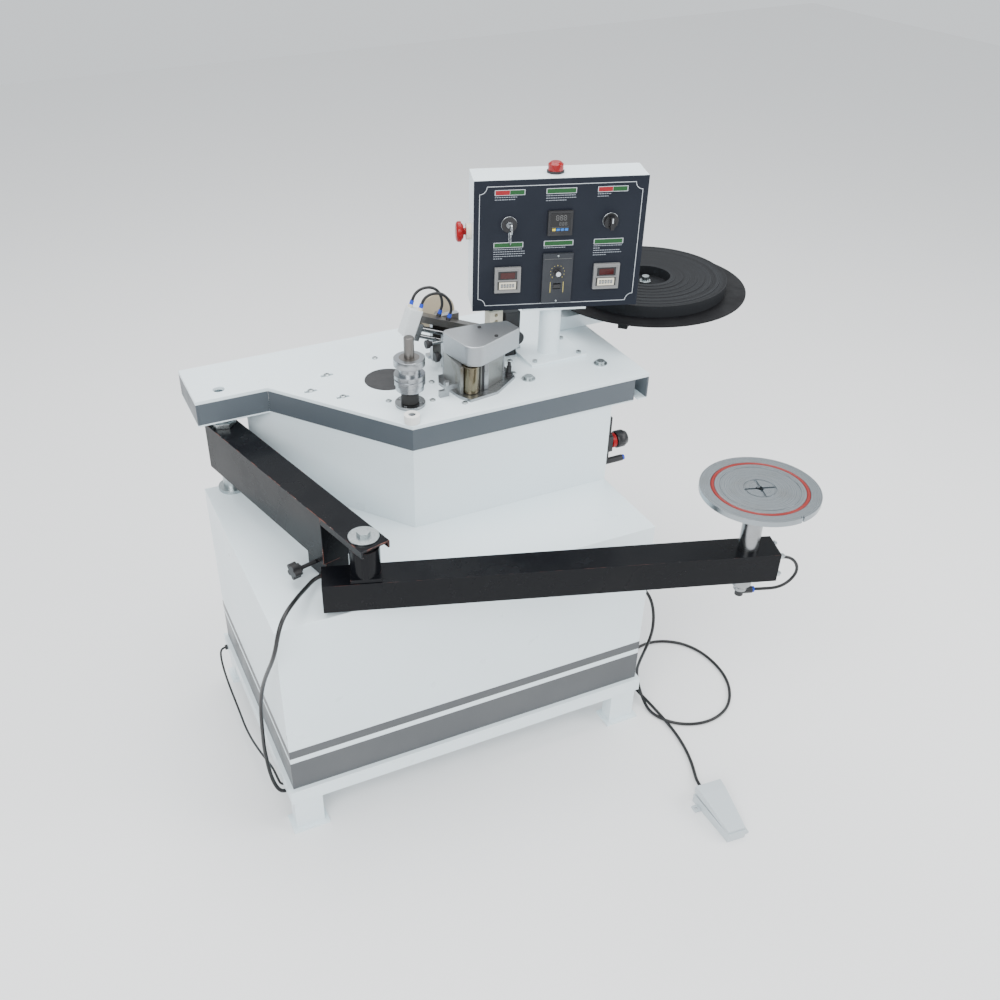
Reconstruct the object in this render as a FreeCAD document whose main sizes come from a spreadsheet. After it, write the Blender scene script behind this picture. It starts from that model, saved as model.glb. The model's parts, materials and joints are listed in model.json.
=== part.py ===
"""Curve edge banding machine with a folding suction arm.

A welded base frame carries a sheet-metal cabinet, a smaller upper cabinet and a
table.  On the table stand the glue head, the feed roller, the end cutter and a
swivelling control box.  Two folding arms carry a vacuum disc that holds the panel.
Units are millimetres, +Z is up and the origin lies on the floor under the centre
of the base frame.
"""
import FreeCAD, Part
import math
import os
import re
from types import SimpleNamespace

import Sketcher
from FreeCAD import Placement, Rotation, Vector

SIZES = {
    # base frame and cabinets
    "cabinet_width": 800, "cabinet_depth": 516, "cabinet_height": 414, "sheet_metal": 2,
    "frame_margin": 9, "frame_bottom": 86, "rail_high": 34, "rail_wide": 35, "tube_wall": 3,
    "leg_wide": 60, "leg_deep": 32, "leg_inset": 6, "foot_plate": 6, "foot_margin": 9,
    "foot_hole_radius": 5.5, "cover_wide": 700, "cover_high": 340, "screw_radius": 5, "screw_head": 3,
    "upper_height": 179, "upper_setback": 3,
    # table
    "table_left": -400, "table_right": 482, "table_front": -64, "table_back": 355,
    "nose_x": -45, "notch_x": -251, "notch_y": 204,
    "table_plate": 8, "table_skirt": 49, "skirt_wall": 4, "lip_wide": 22, "corner_gap": 33,
    "hole_cover_x": -17, "hole_cover_y": 136, "hole_cover_radius": 47, "hole_cover_thick": 3,
    # folding arms
    "shoulder_x": -343, "shoulder_y": 239, "shoulder_radius": 15, "flange_radius": 29,
    "flange_thick": 8, "run_clear": 0.05, "seat_clear": 0.4,
    "arm_wide": 60, "arm_wall": 4, "lower_arm_bottom": 585, "lower_arm_high": 105,
    "lower_arm_tail": 28, "lower_arm_tube": 413, "lower_arm_reach": 508, "fork_end": 545,
    "fork_lip": 15, "lower_arm_angle": -75.9,
    "upper_arm_bottom": 548, "upper_arm_high": 60, "upper_arm_tail": 80, "upper_arm_end": 753,
    "upper_arm_angle": -17.8, "elbow_pin_radius": 10, "elbow_housing_radius": 30,
    "elbow_spacer": 14, "end_plate": 5,
    "disc_reach": 705, "disc_radius": 106, "disc_thick": 10, "disc_top": 738,
    "suction_post_radius": 18.5, "suction_post_foot": 518, "spindle_radius": 10,
    "seal_outer": 86.5, "seal_wide": 7, "seal_proud": 1.5, "seal_deep": 5,
    # control box on its post
    "post_x": 339, "post_y": 108, "post_radius": 22.5, "post_wall": 3, "post_high": 107,
    "post_plate_wide": 130, "post_plate_deep": 100, "post_plate_thick": 6,
    "control_wide": 336, "control_deep": 82, "control_high": 260, "control_angle": -18.8,
    "panel_thick": 3, "panel_row_low": 65, "panel_row_high": 176, "panel_column": 99,
    "meter_wide": 48, "meter_body": 44, "timer_wide": 52, "drive_wide": 60, "drive_high": 102,
    "bezel_proud": 7, "button_hole": 11, "estop_radius": 20, "stop_travel": 5, "lamp_radius": 15,
    # head on the table
    "feed_x": -15, "feed_y": 20, "feed_shaft_radius": 10, "feed_top": 143,
    "glue_x": 111, "glue_y": 9, "glue_radius": 17, "glue_roller_high": 56,
    "cutter_x": 46, "cutter_y": 160, "cutter_level": 105, "cutter_tilt": 21,
    "glue_plate": 6, "glue_clear": 2, "pot_high": 58, "cover_thick": 42,
    "pulley_radius": 28, "pulley_high": 16, "belt_thick": 3,
    # reel
    "reel_x": 640, "reel_y": 212, "reel_radius": 222, "reel_plate": 3, "reel_level": 60,
    "coil_outer": 178, "coil_inner": 54, "tape_wide": 25, "reel_pin_radius": 8,
    "reel_arm_wide": 40, "reel_arm_high": 30,
    # foot switch
    "pedal_x": 412, "pedal_y": -590, "pedal_angle": -4, "pedal_long": 118,
    "pedal_back_wide": 60, "pedal_front_wide": 40, "pedal_base_high": 22, "pedal_slope": 11,
    "pedal_travel": 4,
    # hoses and cable
    "vacuum_hose_radius": 4, "air_hose_radius": 2.5, "loop_hose_radius": 3,
    "pedal_cable_radius": 3.5, "head_hose_radius": 3,
}

BASE_TOP = "(frame_bottom + rail_high)"
DECK = "(frame_bottom + rail_high + cabinet_height)"
TABLE_UNDER = "(frame_bottom + rail_high + cabinet_height + upper_height)"
PLATE_UNDER = f"({TABLE_UNDER} + table_skirt)"
TABLE = f"({TABLE_UNDER} + table_skirt + table_plate)"
HALF_X = "(cabinet_width / 2)"
HALF_Y = "(cabinet_depth / 2)"

doc = FreeCAD.newDocument("edge_banding_machine")
nodes = []
screws = []


# ----------------------------------------------------------------- sizes and binding
def make_sheet():
    """Fill the sheet with one named plain number per row."""
    sheet = doc.addObject("Spreadsheet::Sheet", "sizes")
    for row, (name, value) in enumerate(SIZES.items(), start=1):
        sheet.set(f"A{row}", name)
        sheet.set(f"B{row}", str(value))
        sheet.setAlias(f"B{row}", name)
    doc.recompute()
    return SimpleNamespace(**{name: float(sheet.get(name)) for name in SIZES})


size = make_sheet()


def linked(formula):
    """Return the formula with every size name pointing at its cell."""
    return re.sub(r"[a-z][a-z0-9_]*",
                  lambda word: f"sizes.{word[0]}" if word[0] in SIZES else word[0], str(formula))


def bind(thing, **formulas):
    """Bind properties of an object to formulas of the named sizes."""
    for name, formula in formulas.items():
        thing.setExpression(name, linked(formula))
    return thing


def move(thing, at):
    """Bind the position of an object to three formulas."""
    for letter, formula in zip("xyz", at):
        thing.setExpression(f"Placement.Base.{letter}", linked(formula))
    return thing


def frame(x=0, y=0, angle=0, z=0, axis=Vector(0, 0, 1)):
    """Return a place on the machine: a point and a turn about an axis, as formulas."""
    return SimpleNamespace(x=x, y=y, z=z, angle=angle, axis=axis)


LOWER_ARM = frame("shoulder_x", "shoulder_y", "lower_arm_angle")
UPPER_ARM = frame("shoulder_x + lower_arm_reach * cos(lower_arm_angle * 1 deg)",
                  "shoulder_y + lower_arm_reach * sin(lower_arm_angle * 1 deg)",
                  "upper_arm_angle")
CONTROL = frame("post_x", "post_y", "control_angle")
FEED = frame("feed_x", "feed_y")
GLUE = frame("glue_x", "glue_y")
REEL = frame("reel_x", "reel_y")
PEDAL = frame("pedal_x", "pedal_y", "pedal_angle")


def placed(thing, place):
    """Return the object moved and turned to its place on the machine."""
    carried = group([thing])
    carried.Placement = Placement(Vector(), Rotation(place.axis, 10))
    bind(carried, **{"Placement.Rotation.Angle": place.angle})
    return move(carried, (place.x, place.y, place.z))


def node(label, thing, place=None):
    """Register an object as one sub-part and put it in its place."""
    if place:
        thing = placed(thing, place)
    thing.Label = label
    nodes.append(thing)
    return thing


# ------------------------------------------------------------------------ primitives
def box(at, lengths):
    """Return a block from its low corner and its three lengths."""
    block = doc.addObject("Part::Box", "block")
    bind(block, Length=lengths[0], Width=lengths[1], Height=lengths[2])
    return move(block, at)


def slab(centre, lengths):
    """Return a block centred in X and Y, standing on the given height."""
    x, y, z = centre
    return box((f"{x} - ({lengths[0]}) / 2", f"{y} - ({lengths[1]}) / 2", z), lengths)


TURNS = {"z": Rotation(), "x": Rotation(Vector(0, 1, 0), 90), "-x": Rotation(Vector(0, 1, 0), -90),
         "y": Rotation(Vector(1, 0, 0), -90), "-y": Rotation(Vector(1, 0, 0), 90)}


def rod(at, radius, height, along="z"):
    """Return a cylinder from the centre of its first face."""
    cylinder = doc.addObject("Part::Cylinder", "rod")
    cylinder.Placement = Placement(Vector(), TURNS[along])
    bind(cylinder, Radius=radius, Height=height)
    return move(cylinder, at)


def cone(at, radius, tip_radius, height, along="z"):
    """Return a cone frustum from the centre of its first face."""
    solid = doc.addObject("Part::Cone", "cone")
    solid.Placement = Placement(Vector(), TURNS[along])
    bind(solid, Radius1=radius, Radius2=tip_radius, Height=height)
    return move(solid, at)


def hexagon(at, across_flats, height, along="z"):
    """Return a hexagonal prism from the centre of its first face."""
    prism = doc.addObject("Part::Prism", "hexagon")
    prism.Polygon = 6
    prism.Placement = Placement(Vector(), TURNS[along])
    bind(prism, Circumradius=f"({across_flats}) / 2 / cos(30 deg)", Height=height)
    return move(prism, at)


def group(members):
    """Return several separate solids as one object."""
    compound = doc.addObject("Part::Compound", "group")
    compound.Links = members
    return compound


def fuse(members):
    """Return several touching solids joined into one."""
    fusion = doc.addObject("Part::MultiFuse", "fusion")
    fusion.Shapes = members
    fusion.Refine = True
    return fusion


def cut(base, tools):
    """Return the base with every tool taken out of it."""
    result = doc.addObject("Part::Cut", "cut")
    result.Base = base
    result.Tool = tools[0] if len(tools) == 1 else fuse(tools)
    return result


def ring(at, outer, inner, height, along="z"):
    """Return a round ring from the centre of its first face."""
    return cut(rod(at, outer, height, along), [rod(at, inner, height, along)])


def tube(at, lengths, wall, along):
    """Return a square tube that is open along one axis."""
    low, hollow = list(at), list(lengths)
    for index, letter in enumerate("xyz"):
        if letter != along:
            low[index] = f"{at[index]} + {wall}"
            hollow[index] = f"{lengths[index]} - 2 * {wall}"
    return cut(box(at, lengths), [box(low, hollow)])


def plate(points, z, height):
    """Return a straight-sided plate: a sketch of bound corners, padded upwards."""
    body = doc.addObject("PartDesign::Body", "plate")
    base_plane = next(f for f in body.Origin.OriginFeatures if f.Role == "XY_Plane")
    sketch = body.newObject("Sketcher::SketchObject", "outline")
    sketch.AttachmentSupport = (base_plane, [""])
    sketch.MapMode = "FlatFace"
    count = len(points)
    start = [Vector(100 * math.cos(2 * math.pi * i / count), 100 * math.sin(2 * math.pi * i / count), 0)
             for i in range(count)]
    for index in range(count):
        sketch.addGeometry(Part.LineSegment(start[index], start[(index + 1) % count]), False)
    for index in range(count):
        sketch.addConstraint(Sketcher.Constraint("Coincident", index, 2, (index + 1) % count, 1))
    for index, (x, y) in enumerate(points):
        for kind, formula in (("DistanceX", x), ("DistanceY", y)):
            value = getattr(start[index], kind[-1].lower())
            number = sketch.addConstraint(Sketcher.Constraint(kind, -1, 1, index, 1, value))
            sketch.setExpression(f"Constraints[{number}]", linked(formula))
    pad = body.newObject("PartDesign::Pad", "thickness")
    pad.Profile = sketch
    bind(pad, Length=height)
    body.setExpression("Placement.Base.z", linked(z))
    return body


def rounded(base, radii):
    """Round the upright edges of a prism; radii follow the edges by their angle."""
    doc.recompute()
    shape = base.Shape
    middle = shape.BoundBox.Center
    upright = []
    for number, edge in enumerate(shape.Edges, start=1):
        first, last = edge.Vertexes[0].Point, edge.Vertexes[-1].Point
        if math.hypot(first.x - last.x, first.y - last.y) < 0.001:
            upright.append((math.atan2(first.y - middle.y, first.x - middle.x), number))
    fillet = doc.addObject("Part::Fillet", "rounded")
    fillet.Base = base
    fillet.Edges = [(number, radius, radius) for (_, number), radius in zip(sorted(upright), radii)]
    return fillet


# ---------------------------------------------------------------------------- cords
def cord_shape(label, points, radius):
    """Return a tube along straight runs joined by tangent arcs, and print its radii."""
    route = [Vector(*point) for point in points]
    edges, radii, start = [], [], route[0]
    for before, corner, after in zip(route, route[1:], route[2:]):
        back, ahead = (before - corner), (after - corner)
        reach = 0.45 * min(back.Length, ahead.Length)
        back.normalize()
        ahead.normalize()
        half_turn = (math.pi - back.getAngle(ahead)) / 2
        bend = reach / math.tan(half_turn)
        radii.append(round(bend, 1))
        inward = (back + ahead).normalize()
        middle = corner + inward * (bend / math.cos(half_turn) - bend)
        first, last = corner + back * reach, corner + ahead * reach
        edges.append(Part.LineSegment(start, first).toShape())
        edges.append(Part.Arc(first, middle, last).toShape())
        start = last
    edges.append(Part.LineSegment(start, route[-1]).toShape())
    path = Part.Wire(edges)
    circle = Part.Circle(route[0], route[1] - route[0], radius).toShape()
    shape = path.makePipeShell([Part.Wire([circle])], True, False)
    expected = math.pi * radius ** 2 * path.Length
    if abs(shape.Volume - expected) > 0.01 * expected:
        raise RuntimeError(f"{label}: volume {shape.Volume:.0f}, expected {expected:.0f}")
    print(f"{label}: length {path.Length:.0f}, least radius {min(radii)}, radii {radii}")
    return shape


def cord(label, routes, radius, place=None):
    """Register one or more cords of one kind as a sub-part of its own."""
    strands = []
    for route in routes:
        strands.append(doc.addObject("Part::Feature", "cord"))
        strands[-1].Shape = cord_shape(label, route, radius)
    return node(label, strands[0] if len(strands) == 1 else group(strands), place)


# ------------------------------------------------------------------------ base frame
def build_base():
    """Rails, legs and foot plates."""
    out_x, out_y = f"({HALF_X} + frame_margin)", f"({HALF_Y} + frame_margin)"
    rails = []
    for low_y in (f"0 - {out_y}", f"{out_y} - rail_wide"):
        rails.append(tube((f"0 - {out_x}", low_y, "frame_bottom"), (f"2 * {out_x}", "rail_wide", "rail_high"),
                          "tube_wall", "x"))
        for low_x in (f"0 - {out_x}", f"{out_x} - tube_wall"):
            rails.append(box((low_x, f"{low_y} + tube_wall", "frame_bottom + tube_wall"),
                             ("tube_wall", "rail_wide - 2 * tube_wall", "rail_high - 2 * tube_wall")))
    for low_x in (f"0 - {out_x}", f"{out_x} - rail_wide"):
        rails.append(tube((low_x, f"rail_wide - {out_y}", "frame_bottom"),
                          ("rail_wide", f"2 * {out_y} - 2 * rail_wide", "rail_high"), "tube_wall", "y"))
    legs, feet = [], []
    for side_x in (-1, 1):
        for side_y in (-1, 1):
            x = f"{side_x} * ({out_x} - leg_inset - leg_wide / 2)"
            y = f"{side_y} * ({out_y} - leg_inset - leg_deep / 2)"
            legs.append(tube((f"{x} - leg_wide / 2", f"{y} - leg_deep / 2", "foot_plate"),
                             ("leg_wide", "leg_deep", "frame_bottom - foot_plate"), "tube_wall", "z"))
            foot = slab((x, y, 0), ("leg_wide + 2 * foot_margin", "leg_deep + 2 * foot_margin", "foot_plate"))
            feet.append(cut(foot, [rod((x, y, -1), "foot_hole_radius", "foot_plate + 2")]))
    node("base_frame", group(rails + legs + feet))


def build_cabinets():
    """Lower cabinet with its rear cover, and the upper cabinet."""
    shell = box((f"0 - {HALF_X}", f"0 - {HALF_Y}", BASE_TOP),
                ("cabinet_width", "cabinet_depth", "cabinet_height"))
    inside = box((f"sheet_metal - {HALF_X}", f"sheet_metal - {HALF_Y}", f"{BASE_TOP} - 1"),
                 ("cabinet_width - 2 * sheet_metal", "cabinet_depth - 2 * sheet_metal",
                  "cabinet_height - sheet_metal + 1"))
    middle = f"({BASE_TOP} + cabinet_height / 2)"
    window = box(("0 - cover_wide / 2 + 25", f"{HALF_Y} - 10", f"{middle} - cover_high / 2 + 25"),
                 ("cover_wide - 50", 20, "cover_high - 50"))
    floor = box((f"sheet_metal + seat_clear - {HALF_X}", f"sheet_metal + seat_clear - {HALF_Y}", BASE_TOP),
                ("cabinet_width - 2 * (sheet_metal + seat_clear)",
                 "cabinet_depth - 2 * (sheet_metal + seat_clear)", "sheet_metal"))
    node("lower_cabinet", group([cut(shell, [inside, window]), floor]))

    cover = box(("0 - cover_wide / 2", HALF_Y, f"{middle} - cover_high / 2"),
                ("cover_wide", "sheet_metal", "cover_high"))
    slots = [box((f"{-260 + 290 * column}", f"{HALF_Y} - 1", f"{middle} - 70 + {20 * row}"), (230, 6, 8))
             for column in range(2) for row in range(8)]
    node("rear_cover", cut(cover, slots))
    heads = [rod((f"{side} * (cover_wide / 2 - 12)", f"{HALF_Y} + sheet_metal",
                  f"{middle} + {level} * (cover_high / 2 - 12)"), "screw_radius", "screw_head", "y")
             for side in (-1, 1) for level in (-1, 0, 1)]
    screws.extend(heads)

    def outline(inset):
        """Corners of the upper cabinet, moved inwards."""
        slope = "(notch_x - nose_x) / (notch_y - table_front)"
        lean = "sqrt((notch_x - nose_x)^2 + (notch_y - table_front)^2) / (notch_y - table_front)"
        rows = (f"(table_front + upper_setback + {inset})", f"({HALF_Y} - {inset})")
        left = [f"nose_x + ({row} - table_front) * {slope} + (upper_setback + {inset}) * {lean}"
                for row in rows]
        right = f"{HALF_X} - {inset}"
        return [(left[0], rows[0]), (right, rows[0]), (right, rows[1]), (left[1], rows[1])]

    node("upper_cabinet", cut(plate(outline("0"), DECK, "upper_height"),
                              [plate(outline("sheet_metal"), f"{DECK} - 1", "upper_height + 2")]))


# ----------------------------------------------------------------------------- table
SLOT_SCREWS = ((-124, 206), (-176, 154), (-125, 104))
SMALL_SCREWS = ((-6, 237), (-49, 49), (31, 16), (60, 87), (228, 52), (247, 105), (84, -21))
LARGE_SCREWS = ((245, 18), (413, 16))


def build_table():
    """Table plate, its skirt and lip, the round hole cover and the screws."""
    corners = [("nose_x", "table_front"), ("table_right", "table_front"), ("table_right", "table_back"),
               ("table_left", "table_back"), ("table_left", "notch_y"), ("notch_x", "notch_y")]
    blank = plate(corners, PLATE_UNDER, "table_plate")
    below = f"{PLATE_UNDER} - 1"
    holes = [rod(("shoulder_x", "shoulder_y", below), 12, "table_plate + 2"),
             rod(("hole_cover_x", "hole_cover_y", below), "hole_cover_radius", "table_plate + 2"),
             rod(("feed_x", "feed_y", below), "feed_shaft_radius + 2", "table_plate + 2"),
             rod(("glue_x", "glue_y", below), 10, "table_plate + 2")]
    for x, y in SLOT_SCREWS:
        holes.append(slab((x, y, below), (26, 8, "table_plate + 2")))
    node("table_top", cut(blank, holes))

    def skirt(low, wide, z, high):
        """Six straight strips under the table's edges."""
        front = box((f"nose_x + {wide}", "table_front", z),
                    (f"table_right - corner_gap - nose_x - {wide}", wide, high))
        right = box((f"table_right - {wide}", f"table_front + {low}", z),
                    (wide, f"table_back - table_front - {low}", high))
        back = box((f"table_left + {wide}", f"table_back - {wide}", z),
                   (f"table_right - table_left - 2 * {wide}", wide, high))
        left = box(("table_left", "notch_y", z), (wide, "table_back - notch_y", high))
        notch = box((f"table_left + {wide}", "notch_y", z),
                    (f"notch_x - table_left - {wide}", wide, high))
        run = "(notch_x - nose_x)"
        rise = "(notch_y - table_front)"
        length = f"sqrt({run}^2 + {rise}^2)"
        inward_x, inward_y = f"{rise} / {length}", f"0 - {run} / {length}"
        diagonal = plate([("nose_x", "table_front"), (f"nose_x + {wide}", "table_front"),
                          (f"nose_x + {wide}", f"table_front + {wide}"),
                          (f"notch_x + {wide} * ({inward_x})", f"notch_y + {wide} * ({inward_y})"),
                          ("notch_x", "notch_y")], z, high)
        return [front, right, back, left, notch, diagonal]

    lip_top = f"({TABLE_UNDER} + skirt_wall - 1)"
    node("table_skirt", group(skirt("0", "skirt_wall", lip_top, f"{PLATE_UNDER} - {lip_top}")
                              + skirt("0", "lip_wide", TABLE_UNDER, f"{lip_top} - {TABLE_UNDER}")))
    node("table_hole_cover", rod(("hole_cover_x", "hole_cover_y", f"{TABLE} - hole_cover_thick"),
                                 "hole_cover_radius", "hole_cover_thick + 1"))
    screws.extend(socket_screw(x, y, "screw_radius + 1", "screw_head") for x, y in SMALL_SCREWS)
    screws.extend(socket_screw(x, y, "screw_radius + 1.5", "screw_head") for x, y in SLOT_SCREWS)
    screws.extend(fuse([rod((x, y, TABLE), 14, 2), rod((x, y, f"{TABLE} + 2"), 9, 5)])
                  for x, y in LARGE_SCREWS)


def socket_screw(x, y, radius, high):
    """A low domed screw head with a hexagon socket, standing on the table."""
    head = fuse([rod((x, y, TABLE), radius, f"{high} / 2"),
                 cone((x, y, f"{TABLE} + {high} / 2"), radius, f"({radius}) * 0.7", f"{high} / 2")])
    return cut(head, [hexagon((x, y, f"{TABLE} + 1"), 4, high)])


# ----------------------------------------------------------------------------- arms
LOWER_ARM_TOP = "(lower_arm_bottom + lower_arm_high)"
UPPER_ARM_TOP = "(upper_arm_bottom + upper_arm_high)"
FORK_UNDER = f"({LOWER_ARM_TOP} - arm_wall)"
HOUSING_TOP = f"({FORK_UNDER} - elbow_spacer)"


def build_shoulder():
    """Fixed shaft that carries the lower arm, with its washer and nut."""
    seat = "(lower_arm_bottom - 7)"
    top = f"({LOWER_ARM_TOP} + seat_clear)"
    shaft = fuse([rod((0, 0, DECK), "flange_radius", "flange_thick"),
                  rod((0, 0, f"{DECK} + flange_thick"), "shoulder_radius + 3",
                      f"{seat} - {DECK} - flange_thick"),
                  rod((0, 0, seat), "shoulder_radius", f"{top} + 14 - {seat}")])
    washer = ring((0, 0, seat), "shoulder_radius + 7", "shoulder_radius", "2 - seat_clear / 2")
    nut = cut(hexagon((0, 0, top), 46, 10), [rod((0, 0, f"{top} - 1"), "shoulder_radius", 12)])
    node("shoulder_shaft", group([shaft, washer, nut]), LOWER_ARM)


def build_lower_arm():
    """Lower arm: tube, fork, shoulder bearing, elbow pin and elbow lock."""
    half = "(arm_wide / 2)"
    body = tube(("0 - lower_arm_tail", f"0 - {half}", "lower_arm_bottom"),
                ("lower_arm_tube + lower_arm_tail", "arm_wide", "lower_arm_high"), "arm_wall", "x")
    bore = rod((0, 0, "lower_arm_bottom - 1"), "shoulder_radius + 7", "lower_arm_high + 2")
    ends = [box((start, f"arm_wall - {half}", "lower_arm_bottom + arm_wall"),
                ("arm_wall", "arm_wide - 2 * arm_wall", "lower_arm_high - 2 * arm_wall"))
            for start in ("0 - lower_arm_tail", "lower_arm_tube - arm_wall")]
    housing = ring((0, 0, "lower_arm_bottom - 5"), "shoulder_radius + 7", "shoulder_radius + 3",
                   "lower_arm_high + 5")
    bushes = [ring((0, 0, z), "shoulder_radius + 3", "shoulder_radius + run_clear", 25)
              for z in ("lower_arm_bottom - 5", f"{LOWER_ARM_TOP} - 25")]

    fork_long = "(fork_end - lower_arm_tube)"
    channel = box(("lower_arm_tube", f"0 - {half}", f"{LOWER_ARM_TOP} - fork_lip"),
                  (fork_long, "arm_wide", "fork_lip"))
    hollow = box(("lower_arm_tube - 1", f"arm_wall - {half}", f"{LOWER_ARM_TOP} - fork_lip - 1"),
                 (f"{fork_long} + 2", "arm_wide - 2 * arm_wall", "fork_lip - arm_wall + 1"))
    pin_hole = rod(("lower_arm_reach", 0, f"{FORK_UNDER} - 1"), "elbow_pin_radius", "arm_wall + 2")
    fork = cut(channel, [hollow, pin_hole])
    node("lower_arm_tube", group([cut(body, [bore]), fork, housing] + ends + bushes), LOWER_ARM)

    elbow = "lower_arm_reach"
    washer = ring((elbow, 0, LOWER_ARM_TOP), 28, "elbow_pin_radius", 3)
    pin = fuse([rod((elbow, 0, "upper_arm_bottom - 12"), "elbow_pin_radius",
                    f"{LOWER_ARM_TOP} + 3 - upper_arm_bottom + 12"),
                hexagon((elbow, 0, f"{LOWER_ARM_TOP} + 3"), 22, 9)])
    nut = cut(hexagon((elbow, 0, "upper_arm_bottom - 10 - seat_clear"), 30, 10),
              [rod((elbow, 0, "upper_arm_bottom - 12"), "elbow_pin_radius", 14)])
    spacer = ring((elbow, 0, f"{HOUSING_TOP} + seat_clear"), 21, "elbow_pin_radius",
                  "elbow_spacer - seat_clear")
    node("elbow_pin", group([pin, washer, nut, spacer]), LOWER_ARM)

    start, long, drop = "(lower_arm_tube - 65)", 65, 40
    low = f"lower_arm_bottom - {drop}"
    web = box((start, -25, "lower_arm_bottom - 4"), (long, 50, 4))
    near = box((start, -25, low), (long, 4, drop - 4))
    far = box((start, 21, low), (long, 4, drop - 4))
    end = box((f"{start} + {long} - 4", -21, low), (4, 42, drop - 4))
    screw_hole = rod((LOCK_AT, -30, LOCK_LEVEL), "4 + run_clear", 20, "y")
    grommet = ring((CLIP_AT, -21, CLIP_LEVEL), 7.5, "vacuum_hose_radius", 10, "-y")
    grommet_hole = rod((CLIP_AT, -20, CLIP_LEVEL), 7.5, 6, "-y")
    bracket = cut(fuse([web, near, far, end]), [screw_hole, grommet_hole])
    node("elbow_lock_bracket", group([bracket, grommet]), LOWER_ARM)
    lobes = [rod((f"{LOCK_AT} + {11 * math.cos(turn):.3f}", -78, f"{LOCK_LEVEL} + {11 * math.sin(turn):.3f}"),
                 5.5, 16, "y") for turn in (2 * math.pi * i / 5 for i in range(5))]
    knob = [rod((LOCK_AT, -78, LOCK_LEVEL), 11, 16, "y"), rod((LOCK_AT, -62, LOCK_LEVEL), 7, 6, "y"),
            rod((LOCK_AT, -56, LOCK_LEVEL), 4, 48, "y")]
    node("elbow_lock_knob", fuse(knob + lobes), LOWER_ARM)


LOCK_AT, LOCK_LEVEL = "(lower_arm_tube - 40)", "(lower_arm_bottom - 18)"
CLIP_AT, CLIP_LEVEL = "(lower_arm_tube - 12)", "(lower_arm_bottom - 32)"


def build_upper_arm():
    """Upper arm: tube, elbow housing, end plate and the fixed suction post."""
    half = "(arm_wide / 2)"
    body = tube(("0 - upper_arm_tail", f"0 - {half}", "upper_arm_bottom"),
                ("upper_arm_tail + upper_arm_end", "arm_wide", "upper_arm_high"), "arm_wall", "x")
    below = "upper_arm_bottom - 1"
    tubing = cut(body, [rod((0, 0, below), "elbow_pin_radius + run_clear", "upper_arm_high + 2"),
                        rod(("disc_reach", 0, below), "suction_post_radius", "upper_arm_high + 2")])
    end = box(("upper_arm_end", f"0 - {half}", "upper_arm_bottom"),
              ("end_plate", "arm_wide", "upper_arm_high"))
    foot = slab((0, 0, UPPER_ARM_TOP), ("arm_wide - 4", "arm_wide - 4", 8))
    barrel = rod((0, 0, UPPER_ARM_TOP), "elbow_housing_radius - 2", f"{HOUSING_TOP} - {UPPER_ARM_TOP}")
    bore = rod((0, 0, f"{UPPER_ARM_TOP} - 1"), "elbow_pin_radius + run_clear",
               f"{HOUSING_TOP} - {UPPER_ARM_TOP} + 2")
    housing = cut(fuse([foot, barrel]), [bore])
    node("upper_arm_tube", group([tubing, end, housing]), UPPER_ARM)
    bolts = []
    for y in (-20, 20):
        for z in (10, 50):
            face = "upper_arm_end + end_plate"
            level = f"upper_arm_bottom + {z}"
            bolts.append(fuse([rod((face, y, level), 7.5, 1.5, "x"),
                               hexagon((f"{face} + 1.5", y, level), 10, 6, "x"),
                               rod((f"{face} + 7.5", y, level), 3, 3, "x")]))
    node("end_plate_bolts", group(bolts), UPPER_ARM)

    top = "(disc_top - disc_thick - 3)"
    outer = fuse([cone(("disc_reach", 0, "suction_post_foot"), "suction_post_radius - 6",
                       "suction_post_radius", 8),
                  rod(("disc_reach", 0, "suction_post_foot + 8"), "suction_post_radius",
                      f"{top} - suction_post_foot - 8")])
    bore = rod(("disc_reach", 0, "suction_post_foot - 1"), "spindle_radius + run_clear",
               f"{top} - suction_post_foot + 2")
    bearing = ring(("disc_reach", 0, top), 16, "spindle_radius + run_clear", "3 - seat_clear")
    post = cut(outer, [bore])
    level = "suction_post_foot - 11"
    elbow = fuse([rod(("disc_reach", 0, "suction_post_foot - 6"), "suction_post_radius - 6", 6),
                  rod(("disc_reach", 0, "suction_post_foot - 20"), 8, 16),
                  rod(("disc_reach", 0, level), 7, 24, "x")])
    collet = ring(("disc_reach + 24", 0, level), 6, "loop_hose_radius", 4, "x")
    grommet = ring(("upper_arm_end + end_plate", 0, "upper_arm_bottom + 32"), 6, "loop_hose_radius", 3, "x")
    node("suction_post", group([post, bearing, elbow, collet, grommet]), UPPER_ARM)


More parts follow.
